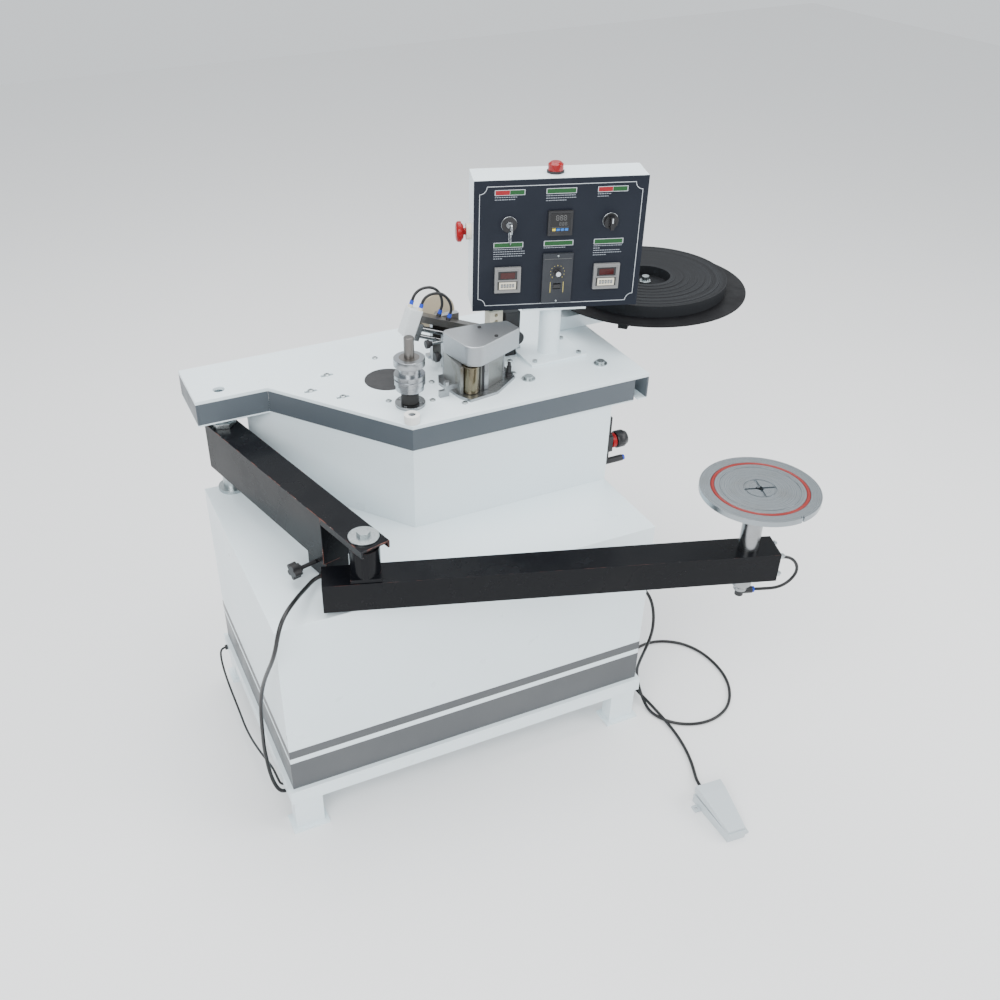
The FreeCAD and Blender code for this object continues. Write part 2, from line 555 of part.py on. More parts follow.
def build_suction_disc():
    """Vacuum disc, its spindle and the red seal ring."""
    under = "(disc_top - disc_thick)"
    blank = rod(("disc_reach", 0, under), "disc_radius", "disc_thick")
    groove_floor = "disc_top - seal_deep"
    groove = cut(rod(("disc_reach", 0, groove_floor), "seal_outer", "seal_deep + 1"),
                 [rod(("disc_reach", 0, f"{groove_floor} - 1"), "seal_outer - seal_wide", "seal_deep + 3")])
    inner_line = cut(rod(("disc_reach", 0, "disc_top - 1"), 71, 2),
                     [rod(("disc_reach", 0, "disc_top - 2"), 69.5, 4)])
    recess = ring(("disc_reach", 0, "disc_top - 1.5"), 29, 27, 3)
    cross = [slab(("disc_reach", 0, "disc_top - 3"), (56, 5, 4)),
             slab(("disc_reach", 0, "disc_top - 3"), (5, 56, 4))]
    port = rod(("disc_reach", 0, f"{under} - 1"), 7, "disc_thick + 2")
    rim_hole = rod(("disc_reach + 40", -87.5 - 8, f"{under} - 1"), 3, "disc_thick + 2")
    disc = cut(blank, [groove, inner_line, recess, port, rim_hole] + cross)
    node("disc_seal", ring(("disc_reach", 0, groove_floor), "seal_outer", "seal_outer - seal_wide",
                           "seal_deep + seal_proud"), UPPER_ARM)
    spindle = ring(("disc_reach", 0, "suction_post_foot + 2"), "spindle_radius", 4,
                   f"{under} - suction_post_foot - 2")
    node("suction_disc", group([disc, spindle]), UPPER_ARM)


# ---------------------------------------------------------------------- control box
BOX_BOTTOM = f"({TABLE} + post_plate_thick + post_high + post_plate_thick)"
FRONT = "(0 - control_deep / 2)"


def build_post():
    """Control post with its foot plate and bolts."""
    foot = slab((0, 0, TABLE), ("post_plate_wide", "post_plate_deep", "post_plate_thick"))
    column = rod((0, 0, f"{TABLE} + post_plate_thick"), "post_radius", "post_high")
    bore = rod((0, 0, f"{TABLE} + post_plate_thick"), "post_radius - post_wall", "post_high + 1")
    standing = frame("post_x", "post_y")
    node("control_post", cut(fuse([foot, column]), [bore]), standing)
    screws.extend(hexagon((f"post_x + {sx} * (post_plate_wide / 2 - 13)",
                           f"post_y + {sy} * (post_plate_deep / 2 - 12)",
                           f"{TABLE} + post_plate_thick"), 10, 4)
                  for sx in (-1, 1) for sy in (-1, 1))


def build_control_box():
    """Swivelling control box, its panel and everything mounted on it."""
    under = f"({BOX_BOTTOM} - post_plate_thick)"
    plug = rod((0, 0, f"{under} - 40"), "post_radius - post_wall - run_clear", 40)
    seat = slab((0, 0, f"{under} + seat_clear"), ("post_plate_wide", "control_deep - 4",
                                                   "post_plate_thick - seat_clear"))
    neck = rod((0, 0, under), "post_radius - post_wall - run_clear", "post_plate_thick / 2")
    swivel = fuse([seat, plug, neck])

    shell = box(("0 - control_wide / 2", f"{FRONT} + panel_thick", BOX_BOTTOM),
                ("control_wide", "control_deep - panel_thick - sheet_metal", "control_high"))
    inside = box(("sheet_metal - control_wide / 2", f"{FRONT} - 1", f"{BOX_BOTTOM} + sheet_metal"),
                 ("control_wide - 2 * sheet_metal", "control_deep + 4", "control_high - 2 * sheet_metal"))
    side = f"({BOX_BOTTOM} + 151)"
    estop_hole = rod(("0 - control_wide / 2 - 1", 0, side), "button_hole", 6, "x")
    lamp_hole = rod((-6, 0, f"{BOX_BOTTOM} + control_high - 4"), "button_hole", 6)
    casing = cut(shell, [inside, estop_hole, lamp_hole])
    back = box(("0 - control_wide / 2", "control_deep / 2 - sheet_metal", BOX_BOTTOM),
               ("control_wide", "sheet_metal", "control_high"))
    heads = [rod((f"{sx} * (control_wide / 2 - 12)", "control_deep / 2", f"{BOX_BOTTOM} + {level}"),
                 3.5, 2, "y") for sx in (-1, 1) for level in ("12", "control_high - 12")]
    node("control_box_shell", group([swivel, casing, back] + heads), CONTROL)

    low, high = f"({BOX_BOTTOM} + panel_row_low)", f"({BOX_BOTTOM} + panel_row_high)"
    behind = f"{FRONT} - 1"

    def square(x, level, wide, tall, y, deep):
        """A block centred on a place of the panel, starting at depth y."""
        return box((f"{x} - ({wide}) / 2", y, f"{level} - ({tall}) / 2"), (wide, deep, tall))

    openings = [square("0 - panel_column", low, "meter_body + 1", "meter_body + 1", behind,
                       "panel_thick + 2"),
                square("panel_column", low, "meter_body + 1", "meter_body + 1", behind, "panel_thick + 2"),
                square("0", high, "meter_body + 1", "meter_body + 1", behind, "panel_thick + 2"),
                square("0", low, "drive_wide - 8", "drive_high - 12", behind, "panel_thick + 2"),
                rod(("0 - panel_column", behind, high), "button_hole", "panel_thick + 2", "y"),
                rod(("panel_column", behind, high), "button_hole", "panel_thick + 2", "y")]
    face = box(("0 - control_wide / 2", FRONT, BOX_BOTTOM), ("control_wide", "panel_thick", "control_high"))
    node("front_panel", cut(face, openings), CONTROL)

    def meter(x, level, wide):
        """A square panel instrument: bezel outside, body through the panel."""
        bezel = square(x, level, wide, wide, f"{FRONT} - bezel_proud", "bezel_proud")
        body = square(x, level, "meter_body", "meter_body", FRONT, 56)
        window = square(x, level, f"{wide} - 8", f"{wide} - 8", f"{FRONT} - bezel_proud - 1", 2)
        return cut(fuse([bezel, body]), [window])

    node("panel_meters", group([meter("0", high, "meter_wide"), meter("0 - panel_column", low, "timer_wide"),
                                meter("panel_column", low, "timer_wide")]), CONTROL)

    front = square("0", low, "drive_wide", "drive_high", f"{FRONT} - bezel_proud", "bezel_proud")
    body = square("0", low, "drive_wide - 9", "drive_high - 13", FRONT, 50)
    dial_bore = rod(("0", f"{FRONT} - bezel_proud - 1", DIAL), "3 + run_clear", 12, "y")
    rocker_well = square("0", ROCKER, 15, 12, f"{FRONT} - bezel_proud - 1", 8)
    node("speed_controller", cut(fuse([front, body]), [dial_bore, rocker_well]), CONTROL)
    knob_y = f"({FRONT} - bezel_proud - seat_clear)"
    node("speed_dial", fuse([rod(("0", knob_y, DIAL), 9, 3, "-y"),
                             rod(("0", f"{knob_y} - 3", DIAL), 6.5, 8, "-y"),
                             rod(("0", f"{knob_y} + 8", DIAL), 3, 9, "-y")]), CONTROL)
    pivot = f"{FRONT} - bezel_proud + 3"
    rocker = fuse([square("0", ROCKER, 14, 8, f"{FRONT} - bezel_proud - 1", 5),
                   rod(("-7.4", pivot, ROCKER), 1.5, 14.8, "x")])
    node("rocker_switch", rocker, CONTROL)

    switches = []
    for x in ("0 - panel_column", "panel_column"):
        body = rod((x, f"{FRONT} + 35", high), "button_hole - 0.2", 35, "-y")
        bezel = rod((x, FRONT, high), 15, 5, "-y")
        well = rod((x, f"{FRONT} - 6", high), "6 + run_clear", 30, "y")
        switches.append(cut(fuse([body, bezel]), [well]))
    lock_y = f"{FRONT} - 5"
    key = fuse([rod(("0 - panel_column", f"{FRONT} + 20", high), 6, 25.5, "-y"),
                square("0 - panel_column", high, 3, 8, f"{lock_y} - 16", 16),
                ring(("0 - panel_column - 1.5", f"{lock_y} - 24", high), 11, 4, 3, "x")])
    loop = ring(("0 - panel_column - 3.2", f"{lock_y} - 26", f"{high} - 16"), 14, 12.4, 1.6, "x")
    node("key", group([key, loop]), CONTROL)
    node("selector_knob", fuse([rod(("panel_column", f"{FRONT} + 20", high), 6, 25.5, "-y"),
                                rod(("panel_column", f"{lock_y} - 0.5", high), 13, 6, "-y"),
                                square("panel_column", high, 7, 25, f"{lock_y} - 17", 11)]), CONTROL)

    left = "(0 - control_wide / 2)"
    base = rod((left, 0, side), 16, 10, "-x")
    well = rod((f"{left} - 11", 0, side), "7 + run_clear", 50, "x")
    body = rod((left, 0, side), "button_hole - 0.2", 34, "x")
    switches.append(cut(fuse([base, body]), [well]))
    travel = "(stop_travel + seat_clear)"
    head = fuse([rod((f"{left} - 10 - {travel}", 0, side), "estop_radius - 4", 4, "-x"),
                 rod((f"{left} - 14 - {travel}", 0, side), "estop_radius", 7, "-x"),
                 cone((f"{left} - 21 - {travel}", 0, side), "estop_radius", "estop_radius - 6", 4, "-x"),
                 rod((f"{left} + 14", 0, side), 7, f"24 + {travel}", "-x")])
    node("stop_button", head, CONTROL)
    roof = f"({BOX_BOTTOM} + control_high)"
    base = fuse([rod((-6, 0, roof), "lamp_radius + 2", 4),
                 rod((-6, 0, f"{roof} - 30"), "button_hole - 0.2", 30)])
    lens = fuse([rod((-6, 0, f"{roof} + 4"), "lamp_radius", 12),
                 cone((-6, 0, f"{roof} + 16"), "lamp_radius", "lamp_radius - 5", 4)])
    node("switch_bodies", group(switches + [base, lens]), CONTROL)


DIAL = f"({BOX_BOTTOM} + panel_row_low + 13)"
ROCKER = f"({BOX_BOTTOM} + panel_row_low - 16)"


# ----------------------------------------------------------------------------- head
def build_feed_roller():
    """Feed roller, its fixed flange and the nose wheel."""
    flange = ring(("feed_x", "feed_y", TABLE), 30, "feed_shaft_radius + run_clear", 6)
    holes = [rod((f"feed_x + {24 * math.cos(turn):.3f}", f"feed_y + {24 * math.sin(turn):.3f}",
                  f"{TABLE} + 3"), 3, 4)
             for turn in (math.pi / 4 + math.pi / 2 * i for i in range(4))]
    stud = fuse([rod((NOSE.x, NOSE.y, TABLE), 4, 14), rod((NOSE.x, NOSE.y, f"{TABLE} + 14"), 7, 2)])
    node("roller_mounts", group([cut(flange, holes), stud]))
    foot = "(lower_arm_bottom + 85.5)"
    shaft = rod((0, 0, foot), "feed_shaft_radius", f"{TABLE} + feed_top - {foot}")
    stack = ((34, 12, 28), (46, 22, 30.5), (68, 17, 21), (85, 16, 30.5))
    drum = fuse([rod((0, 0, f"{TABLE} + {z}"), radius, high) for z, high, radius in stack])
    drum = cut(drum, [rod((0, 0, f"{TABLE} + 33"), "feed_shaft_radius", 80)])
    pulley = ring((0, 0, PULLEY_LEVEL), "pulley_radius", "feed_shaft_radius", "pulley_high")
    node("feed_roller", group([shaft, drum, pulley]), FEED)
    node("feed_rubber", ring((0, 0, f"{TABLE} + 6 + seat_clear"), 17.5, "feed_shaft_radius",
                             "28 - seat_clear"), FEED)
    node("nose_wheel", cut(rod((0, 0, f"{TABLE} + seat_clear"), 15.5, 17),
                           [rod((0, 0, TABLE), "4 + run_clear", 14),
                            rod((0, 0, f"{TABLE} + 13.6"), "7 + 0.3", 6)]), NOSE)


PULLEY_LEVEL = f"({TABLE_UNDER} - 18)"
NOSE = frame("nose_x + 6", "table_front + 17")


def build_glue_head():
    """Glue plate, pot, roller and the cover over them."""
    base = cut(plate([(68, 70), (82, 0), (96, -24), (159, -15), (220, 30), (221, 90), (80, 100)],
                     TABLE, "glue_plate"), [rod(("glue_x", "glue_y", f"{TABLE} - 1"), "8 + run_clear", 10)])
    top = f"({TABLE} + glue_plate)"
    pot = plate([(86, 4), (146, 4), (190, 28), (196, 74), (86, 86)], top, "pot_high")
    node("glue_pot", cut(pot, [rod(("glue_x", "glue_y", f"{top} - 1"), "glue_radius + glue_clear",
                                   "pot_high + 2")]))
    foot = f"({TABLE_UNDER} - 30)"
    shaft = rod((0, 0, foot), 8, f"{top} + glue_roller_high + 20 - {foot}")
    barrel = ring((0, 0, f"{top} + 1"), "glue_radius", 8, "glue_roller_high")
    pulley = ring((0, 0, PULLEY_LEVEL), "pulley_radius", 8, "pulley_high")
    node("glue_roller", group([shaft, barrel, pulley]), GLUE)
    blank = plate([(81, 95), (103, -18), (232, 39), (224, 81), (151, 94)], f"{top} + pot_high", "cover_thick")
    hollow = rod(("glue_x", "glue_y", f"{top} + pot_high - 1"), "8 + glue_clear / 2", 24)
    node("glue_head_cover", cut(rounded(blank, (26, 4, 6, 10, 14)), [hollow]))
    lid = f"({top} + pot_high + cover_thick)"
    screws.extend(rod((x, y, lid), 4, 2) for x, y in ((159, 74), (172, 24)))
    lever = fuse([box((48, 18, TABLE), (20, 8, 14)), box((58, 18, f"{TABLE} + 14"), (28, 6, 10)),
                  rod((64, 21, f"{TABLE} + 24"), 6, 8)])
    fitting = fuse([rod((209, 36, top), 7, 8), rod((209, 36, f"{top} + 8"), 5, 14),
                    rod((209, 36, f"{top} + 22"), 3.5, 8)])
    posts = [rod((x, y, top), 5, "pot_high") for x, y in ((92, 92), (215, 78))]
    node("glue_base_plate", group([base, lever, fitting] + posts))


CUTTER = frame("cutter_x", "cutter_y", "cutter_tilt", f"{TABLE} + cutter_level", Vector(0, 1, 0))
CUTTER_RODS = ((0, -10, 6), (0, -26, 4.5))
HOSE_PORTS = ((-8, 6, 28), (9, -6, 28))
BAR_PORTS = ((62, 7, 20), (78, -7, 20))
KNOBS = (("depth_knob", 68, 136, 60, 9), ("pressure_knob", 88, 136, 28, 11))


def push_in_fittings(places):
    """Round hose fittings with a narrower collet on top."""
    return [fuse([rod((x, y, z), 5, 6), rod((x, y, z + 6), 4.2, 8)]) for x, y, z in places]


def build_cutter():
    """End cutter on its sloping guide bar, with air cylinder, stand and knobs."""
    housing = rounded(box((-15.5, -13, -28), (31, 26, 56)), (4, 4, 4, 4))
    node("cutter_housing", group([housing] + push_in_fittings(HOSE_PORTS)), CUTTER)
    bar = box((15.5, -13, 6), (148.5, 26, 14))
    cylinder = cut(box((88, -12, -34), (36, 24, 40)),
                   [rod((60, y, z), f"{radius} + run_clear", 80, "x") for y, z, radius in CUTTER_RODS])
    guide = placed(group([bar, cylinder] + push_in_fittings(BAR_PORTS)), CUTTER)
    carriage = fuse([box((15.9, -12, -34), (10, 24, 36))]
                    + [rod((25, y, z), radius, 91, "x") for y, z, radius in CUTTER_RODS])
    node("cutter_carriage", carriage, CUTTER)

    back = "(cutter_y + 13)"
    stand = fuse([box((100, back, TABLE), (60, 14, 98)), box((96, f"{back} + 14", TABLE), (68, 16, 6)),
                  rod((128, f"{back} + 14", f"{TABLE} + 84"), 6, 30, "y")])
    holder = cut(box((106, 128, TABLE), (14, 16, 72)),
                 [rod((100, y, f"{TABLE} + {level}"), "3 + run_clear", 30, "x")
                  for _, _, y, level, _ in KNOBS])
    guard = rod((128, f"{back} + 44", f"{TABLE} + 84"), 42, 4, "y")
    node("guide_bar", group([guide, stand, holder, guard]))
    for label, x, y, level, radius in KNOBS:
        z = f"{TABLE} + {level}"
        node(label, fuse([rod((x, y, z), radius, 9, "x"), rod((x + 9, y, z), 6, 5, "x"),
                          rod((x + 14, y, z), 3, 104 - x, "x")]))
    block = cut(box((215, 140, TABLE), (30, 24, 100)),
                [rod((230, 130, f"{TABLE} + {z}"), 4, 20, "y") for z in (78, 92)])
    coil = fuse([box((245, 128, TABLE), (27, 36, 66)), box((249, 134, f"{TABLE} + 40"), (34, 28, 54)),
                 rod((268, 128, f"{TABLE} + 44"), 14, 16, "-y")])
    small = [fuse([rod((x, 152, f"{TABLE} + 100"), 5, 6), rod((x, 152, f"{TABLE} + 106"), 4.2, 5)])
             for x in (223, 237)]
    node("air_valves", group([block, coil] + small))


def build_drive():
    """Motor, gearbox, pulleys and belt under the table."""
    low = "(lower_arm_bottom + 25.5)"
    gearbox = slab(("feed_x", "feed_y", low), (76, 76, 60))
    motor = fuse([rod(("feed_x + 38", "feed_y", f"{low} + 30"), 30, 150, "x"),
                  slab(("feed_x + 113", "feed_y", low), (90, 50, 6))])
    shelf = box(("feed_x - 40", "feed_y - 45", f"{low} - 4"), (210, 90, 4))
    sides = [box(("feed_x - 40", f"feed_y + {y}", DECK), (210, 4, f"{low} - 4 - {DECK}")) for y in (-45, 41)]
    node("drive_motor", group([gearbox, motor, shelf] + sides))
    belt = doc.addObject("Part::Feature", "belt")
    first, last = Vector(size.feed_x, size.feed_y, 0), Vector(size.glue_x, size.glue_y, 0)
    across = (last - first).cross(Vector(0, 0, 1)).normalize()
    along = (last - first).normalize()

    def loop(radius):
        """Closed wire around both pulleys."""
        edges = [Part.LineSegment(first + across * radius, last + across * radius),
                 Part.Arc(last + across * radius, last + along * radius, last - across * radius),
                 Part.LineSegment(last - across * radius, first - across * radius),
                 Part.Arc(first - across * radius, first - along * radius, first + across * radius)]
        return Part.Face(Part.Wire([edge.toShape() for edge in edges]))

    inner = size.pulley_radius + 0.1
    high = size.pulley_high - 2
    belt.Shape = loop(inner + size.belt_thick).cut(loop(inner)).extrude(Vector(0, 0, high))
    node("drive_belt", belt)
    move(belt, (0, 0, f"{PULLEY_LEVEL} + 1"))


def build_vacuum_and_electrics():
    """Vacuum pump and switchgear inside the lower cabinet."""
    floor = f"({BASE_TOP} + sheet_metal)"
    feet = [slab((x, 40, floor), (50, 120, 12)) for x in (-220, -80)]
    pump = fuse([rod((-260, 40, f"{floor} + 82"), 70, 110, "x"),
                 rod((-150, 40, f"{floor} + 82"), 58, 140, "x"),
                 slab((-150, 40, f"{floor} + 12"), (220, 90, 30))])
    node("vacuum_pump", group([pump] + feet))
    carrier = box((100, 150, floor), (250, 3, 300))
    contactors = [box((x, 110, f"{floor} + 180"), (45, 40, 75)) for x in (120, 180, 240)]
    node("switchgear", group([carrier, box((140, 60, floor), (110, 85, 90))] + contactors))


# ----------------------------------------------------------------------------- reel
def build_reel():
    """Tape reel and the arm that carries it."""
    beam = tube(("table_right - 90 - reel_x", "0 - reel_arm_wide / 2", TABLE),
                ("reel_x - table_right + 90 + 20", "reel_arm_wide", "reel_arm_high"), "tube_wall", "x")
    arm_top = f"({TABLE} + reel_arm_high)"
    screws.extend(hexagon((f"table_right - {inset}", "reel_y", arm_top), 13, 6) for inset in (70, 25))
    plate_low = f"({TABLE} + reel_level - reel_plate)"
    deck = f"({TABLE} + reel_level)"
    pin = fuse([rod((0, 0, arm_top), "reel_pin_radius + 6", 3),
                rod((0, 0, f"{arm_top} + 3"), "reel_pin_radius", f"{deck} + 19 - {arm_top}")])
    nut = [ring((0, 0, f"{deck} + seat_clear"), 13, "reel_pin_radius", 2),
           cut(hexagon((0, 0, f"{deck} + 2 + seat_clear"), 24, 9),
                [rod((0, 0, deck), "reel_pin_radius", 20)])]
    node("reel_arm", group([beam, pin] + nut), REEL)
    hub_low = f"({arm_top} + 3 + seat_clear)"
    hub = rod((0, 0, hub_low), 25, f"{plate_low} - {hub_low}")
    arms = []
    for turn in (45, 135):
        bar = slab((0, 0, f"{plate_low} - 12"), ("2 * reel_radius - 16", 20, 12))
        arms.append(placed(bar, frame(angle=turn)))
    bore = rod((0, 0, f"{hub_low} - 1"), "reel_pin_radius + run_clear", 40)
    disc = ring((0, 0, plate_low), "reel_radius", "reel_pin_radius + run_clear", "reel_plate")
    node("reel_disc", group([cut(fuse([hub] + arms), [bore]), disc]), REEL)
    node("tape_coil", ring((0, 0, deck), "coil_outer", "coil_inner", "tape_wide"), REEL)


# ------------------------------------------------------------------------ regulator
REGULATOR = frame("cabinet_width / 2", -43)


def build_regulator():
    """Air regulator with its shut-off ring and tee on the right side."""
    level = f"({DECK} + 81)"
    bracket = fuse([box((0, -16, f"{level} - 18"), (3, 32, 80)), box((3, -12, f"{level} + 20"), (10, 24, 3)),
                    box((10, -5, f"{level} + 23"), (4, 10, 36))])
    body = fuse([box((3, -14, f"{level} - 18"), (12, 28, 36)), rod((15, 0, level), 12, 12, "x"),
                 rod((9, 0, f"{level} - 50"), 6, 36)])
    lock_ring = ring((16, 0, level), 16, 12, 9, "x")
    node("regulator_knob", fuse([rod((27.4, 0, level), 19, 20, "x"), cone((47.4, 0, level), 19, 14, 6, "x")]),
         REGULATOR)
    tee = cut(rod((2, 0, f"{level} - 50"), 7, 48, "x"), [rod((9, 0, f"{level} - 50"), 6, 36)])
    node("regulator_body", group([bracket, body, lock_ring, tee, rod((50, 0, f"{level} - 50"), 6, 5, "x")]),
         REGULATOR)


# --------------------------------------------------------------------- foot switch
def build_pedal():
    """Foot switch: base with ears, treadle and hinge pin."""
    half_back, half_front, long = "pedal_back_wide / 2", "pedal_front_wide / 2", "pedal_long"
    base = plate([(f"0 - {half_front}", f"0 - {long} / 2"), (half_front, f"0 - {long} / 2"),
                  (half_back, f"{long} / 2"), (f"0 - {half_back}", f"{long} / 2")], 0, "pedal_base_high")
    well = plate([(f"5 - {half_front}", f"4 - {long} / 2"), (f"{half_front} - 5", f"4 - {long} / 2"),
                  (f"{half_back} - 5", f"{long} / 2 - 5"), (f"5 - {half_back}", f"{long} / 2 - 5")],
                 4, "pedal_base_high")
    ears = [cut(box((f"0 - {half_back} - 12", f"{long} / 2 - 30", 0), (14, 16, 4)),
                [rod((f"0 - {half_back} - 5", f"{long} / 2 - 22", -1), 3, 6)]),
            cut(box((f"{half_front} - 2", f"6 - {long} / 2", 0), (16, 16, 4)),
                [rod((f"{half_front} + 7", f"14 - {long} / 2", -1), 3, 6)])]
    hinge_hole = rod((-60, PEDAL_HINGE_Y, PEDAL_HINGE_Z), "2 + run_clear", 120, "x")
    cable_hole = rod((0, f"{long} / 2 - 8", 12), "pedal_cable_radius + 1.5", 10, "y")
    pin = rod((f"0 - {half_front} - 1", PEDAL_HINGE_Y, PEDAL_HINGE_Z), 2, f"2 * ({half_front} + 1)", "x")
    gland = ring((0, f"{long} / 2 - 6", 12), "pedal_cable_radius + 1.5", "pedal_cable_radius", 12, "y")
    casting = cut(fuse([cut(base, [well])] + ears), [hinge_hole, cable_hole])
    node("pedal_base", group([casting, pin, gland]), PEDAL)
    node("pedal_treadle", pedal_treadle(), PEDAL)


PEDAL_HINGE_Y, PEDAL_HINGE_Z = "(12 - pedal_long / 2)", "(pedal_base_high - 7)"


def pedal_treadle():
    """Wedge-shaped treadle with a hinge lug; its underside clears the base over the whole travel."""
    half_back, half_front, long = "pedal_back_wide / 2", "pedal_front_wide / 2", "pedal_long"
    under = "(pedal_base_high + seat_clear)"
    wedge = plate([(f"0 - {half_front}", f"3 - {long} / 2"), (half_front, f"3 - {long} / 2"),
                   (half_back, f"{long} / 2"), (f"0 - {half_back}", f"{long} / 2")], under, 24)
    across = Vector(1, 0, 0)
    above = placed(box((-60, 0, 0), (120, 200, 60)),
                   frame(0, f"0 - {long} / 2", "pedal_slope", "pedal_base_high + 6", across))
    below = placed(box((-60, 0, -60), (120, 200, 60)),
                   frame(0, PEDAL_HINGE_Y, "pedal_travel", under, across))
    lug_wide = "(pedal_front_wide - 18)"
    lug = fuse([rod((f"0 - {lug_wide} / 2", PEDAL_HINGE_Y, PEDAL_HINGE_Z), 5, lug_wide, "x"),
                box((f"0 - {lug_wide} / 2", f"{PEDAL_HINGE_Y} - 4", PEDAL_HINGE_Z),
                    (lug_wide, 8, f"pedal_base_high + 2 - {PEDAL_HINGE_Z}"))])
    bore = rod((-60, PEDAL_HINGE_Y, PEDAL_HINGE_Z), "2 + run_clear", 120, "x")
    return cut(fuse([cut(wedge, [above, below]), lug]), [bore])


# ----------------------------------------------------------------- cords and hoses
PEDAL_CABLE = ((404, -198, 330), (417, -198, 330), (431, -202, 325), (443, -210, 310), (449, -222, 288),
               (450, -232, 258), (447, -238, 226), (443, -236, 192), (440, -228, 156), (440, -217, 118),
               (444, -206, 82), (450, -204, 50), (452, -216, 24), (450, -240, 8), (446, -274, 4),
               (462, -310, 4),
               (492, -337, 4), (532, -352, 4), (574, -352, 4), (616, -336, 4), (650, -303, 4), (674, -258, 4),
               (682, -206, 4), (676, -150, 4), (652, -104, 4), (610, -74, 4), (562, -66, 4), (516, -80, 4),
               (480, -110, 4), (458, -152, 5), (450, -198, 14), (454, -250, 14), (462, -300, 6),
               (463, -350, 4),
               (456, -400, 4), (444, -442, 4), (431, -472, 5), (422, -491, 9), (417.8, -507.2, 12),
               (416.53, -525.16, 12))
VACUUM_HOSE = ((-275.4, -157.5, 553), (-288, -160.7, 553), (-302, -172, 554), (-318, -190, 558),
               (-335, -214, 568), (-352, -240, 578), (-371, -266, 585), (-389, -286, 580), (-401, -296, 560),
               (-408, -295, 528), (-414, -282, 492), (-419, -259, 452), (-422, -233, 410), (-426, -212, 366),
               (-430, -199, 320), (-432, -193, 272), (-433, -188, 224), (-433, -182, 180), (-431, -180, 144),
               (-430, -186, 116), (-427, -196, 92), (-421, -206, 76), (-412, -211, 70), (-402, -211, 70))
AIR_HOSE = ((-415, 240, 100), (-422, 240, 100), (-428, 235, 94), (-431, 222, 82), (-432, 196, 66),
            (-432, 158, 55), (-431, 112, 48), (-431, 66, 46), (-432, 20, 49), (-431, -24, 57),
            (-429, -66, 70),
            (-426, -104, 82), (-421, -136, 88), (-416, -160, 86), (-414, -180, 78), (-411, -192, 70),
            (-402, -192, 70))
LOOP_HOSE = ((761, 0, 580), (777, 0, 580.6), (794, 1, 575), (807, 2, 561), (812, 2, 544), (807, 2, 527),
             (794, 1, 513), (776, 0, 506.5), (755, 0, 506.4), (733, 0, 507))
HEAD_HOSES = (((-8, 6, 42), (-8, 6, 49), (-5.5, 6, 58), (0.5, 6, 66), (10, 6, 72), (21, 6, 75), (32, 6.5, 74.5),
               (43, 7, 70), (52, 7, 62), (58, 7, 53), (61.5, 7, 44.5), (62, 7, 39), (62, 7, 34)),
              ((9, -6, 42), (9, -6, 48), (12, -6, 56), (18.5, -6, 63), (28, -6.2, 68), (39, -6.4, 70.5),
               (50, -6.6, 69), (60, -7, 64), (69, -7, 56.5), (75, -7, 48.5), (77.7, -7, 41), (78, -7, 37.5),
               (78, -7, 34)))


def build_cords():
    """Cable and hoses, with the fittings where they end."""
    gland = cut(hexagon(("cabinet_width / 2", -198, 330), 17, 8, "x"),
                [rod(("cabinet_width / 2 + 4", -198, 330), "pedal_cable_radius", 10, "x")])
    outer = f"({HALF_X} + frame_margin)"
    manifold = box((f"7 - {outer}", -220, "frame_bottom - 28"), (24, 44, 28))
    union = rod((f"0 - {outer}", 240, 100), 6, 6, "-x")
    node("cable_fittings", group([gland, manifold, union]))
    cord("pedal_cable", [PEDAL_CABLE], size.pedal_cable_radius)
    cord("vacuum_hose", [VACUUM_HOSE], size.vacuum_hose_radius)
    cord("air_hose", [AIR_HOSE], size.air_hose_radius)
    cord("suction_loop_hose", [LOOP_HOSE], size.loop_hose_radius, UPPER_ARM)
    cord("cutter_hoses", HEAD_HOSES, size.head_hose_radius, CUTTER)
    node("machine_screws", group(screws))


def main():
    """Build the model, check every object and write one file per sub-part."""
    for step in (build_base, build_cabinets, build_table, build_shoulder, build_lower_arm, build_upper_arm,
                 build_suction_disc, build_post, build_control_box, build_feed_roller, build_glue_head,
                 build_cutter, build_drive, build_vacuum_and_electrics, build_reel, build_regulator,
                 build_pedal, build_cords):
        step()
    doc.recompute()
    failed = [f"{thing.Label} ({thing.getStatusString()})" for thing in doc.Objects
              if {"Invalid", "Error"} & set(thing.State)]
    if failed:
        raise RuntimeError("; ".join(failed))
    os.makedirs("parts", exist_ok=True)
    for thing in nodes:
        if thing.Shape.isNull() or not thing.Shape.isValid() or not thing.Shape.Solids:
            raise RuntimeError(f"{thing.Label} has no valid solid")
        thing.Shape.exportStep(f"parts/{thing.Label}.step")
    print(f"{len(nodes)} sub-parts written")


main()
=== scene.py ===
"""Looks of a curve edge banding machine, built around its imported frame.

Every CAD node gets a rounded, dressed copy of its own shape, and the parts that carry
the eye (control panel, rollers, discs, knobs, tape coil, cords) get pieces of their own.
Units are metres, in the frame of the machine: +X right, +Y back, +Z up.
"""

import json
import logging
import math
from dataclasses import dataclass
from enum import Enum
from typing import Callable, Iterable, Sequence

import bpy
from mathutils import Matrix, Vector


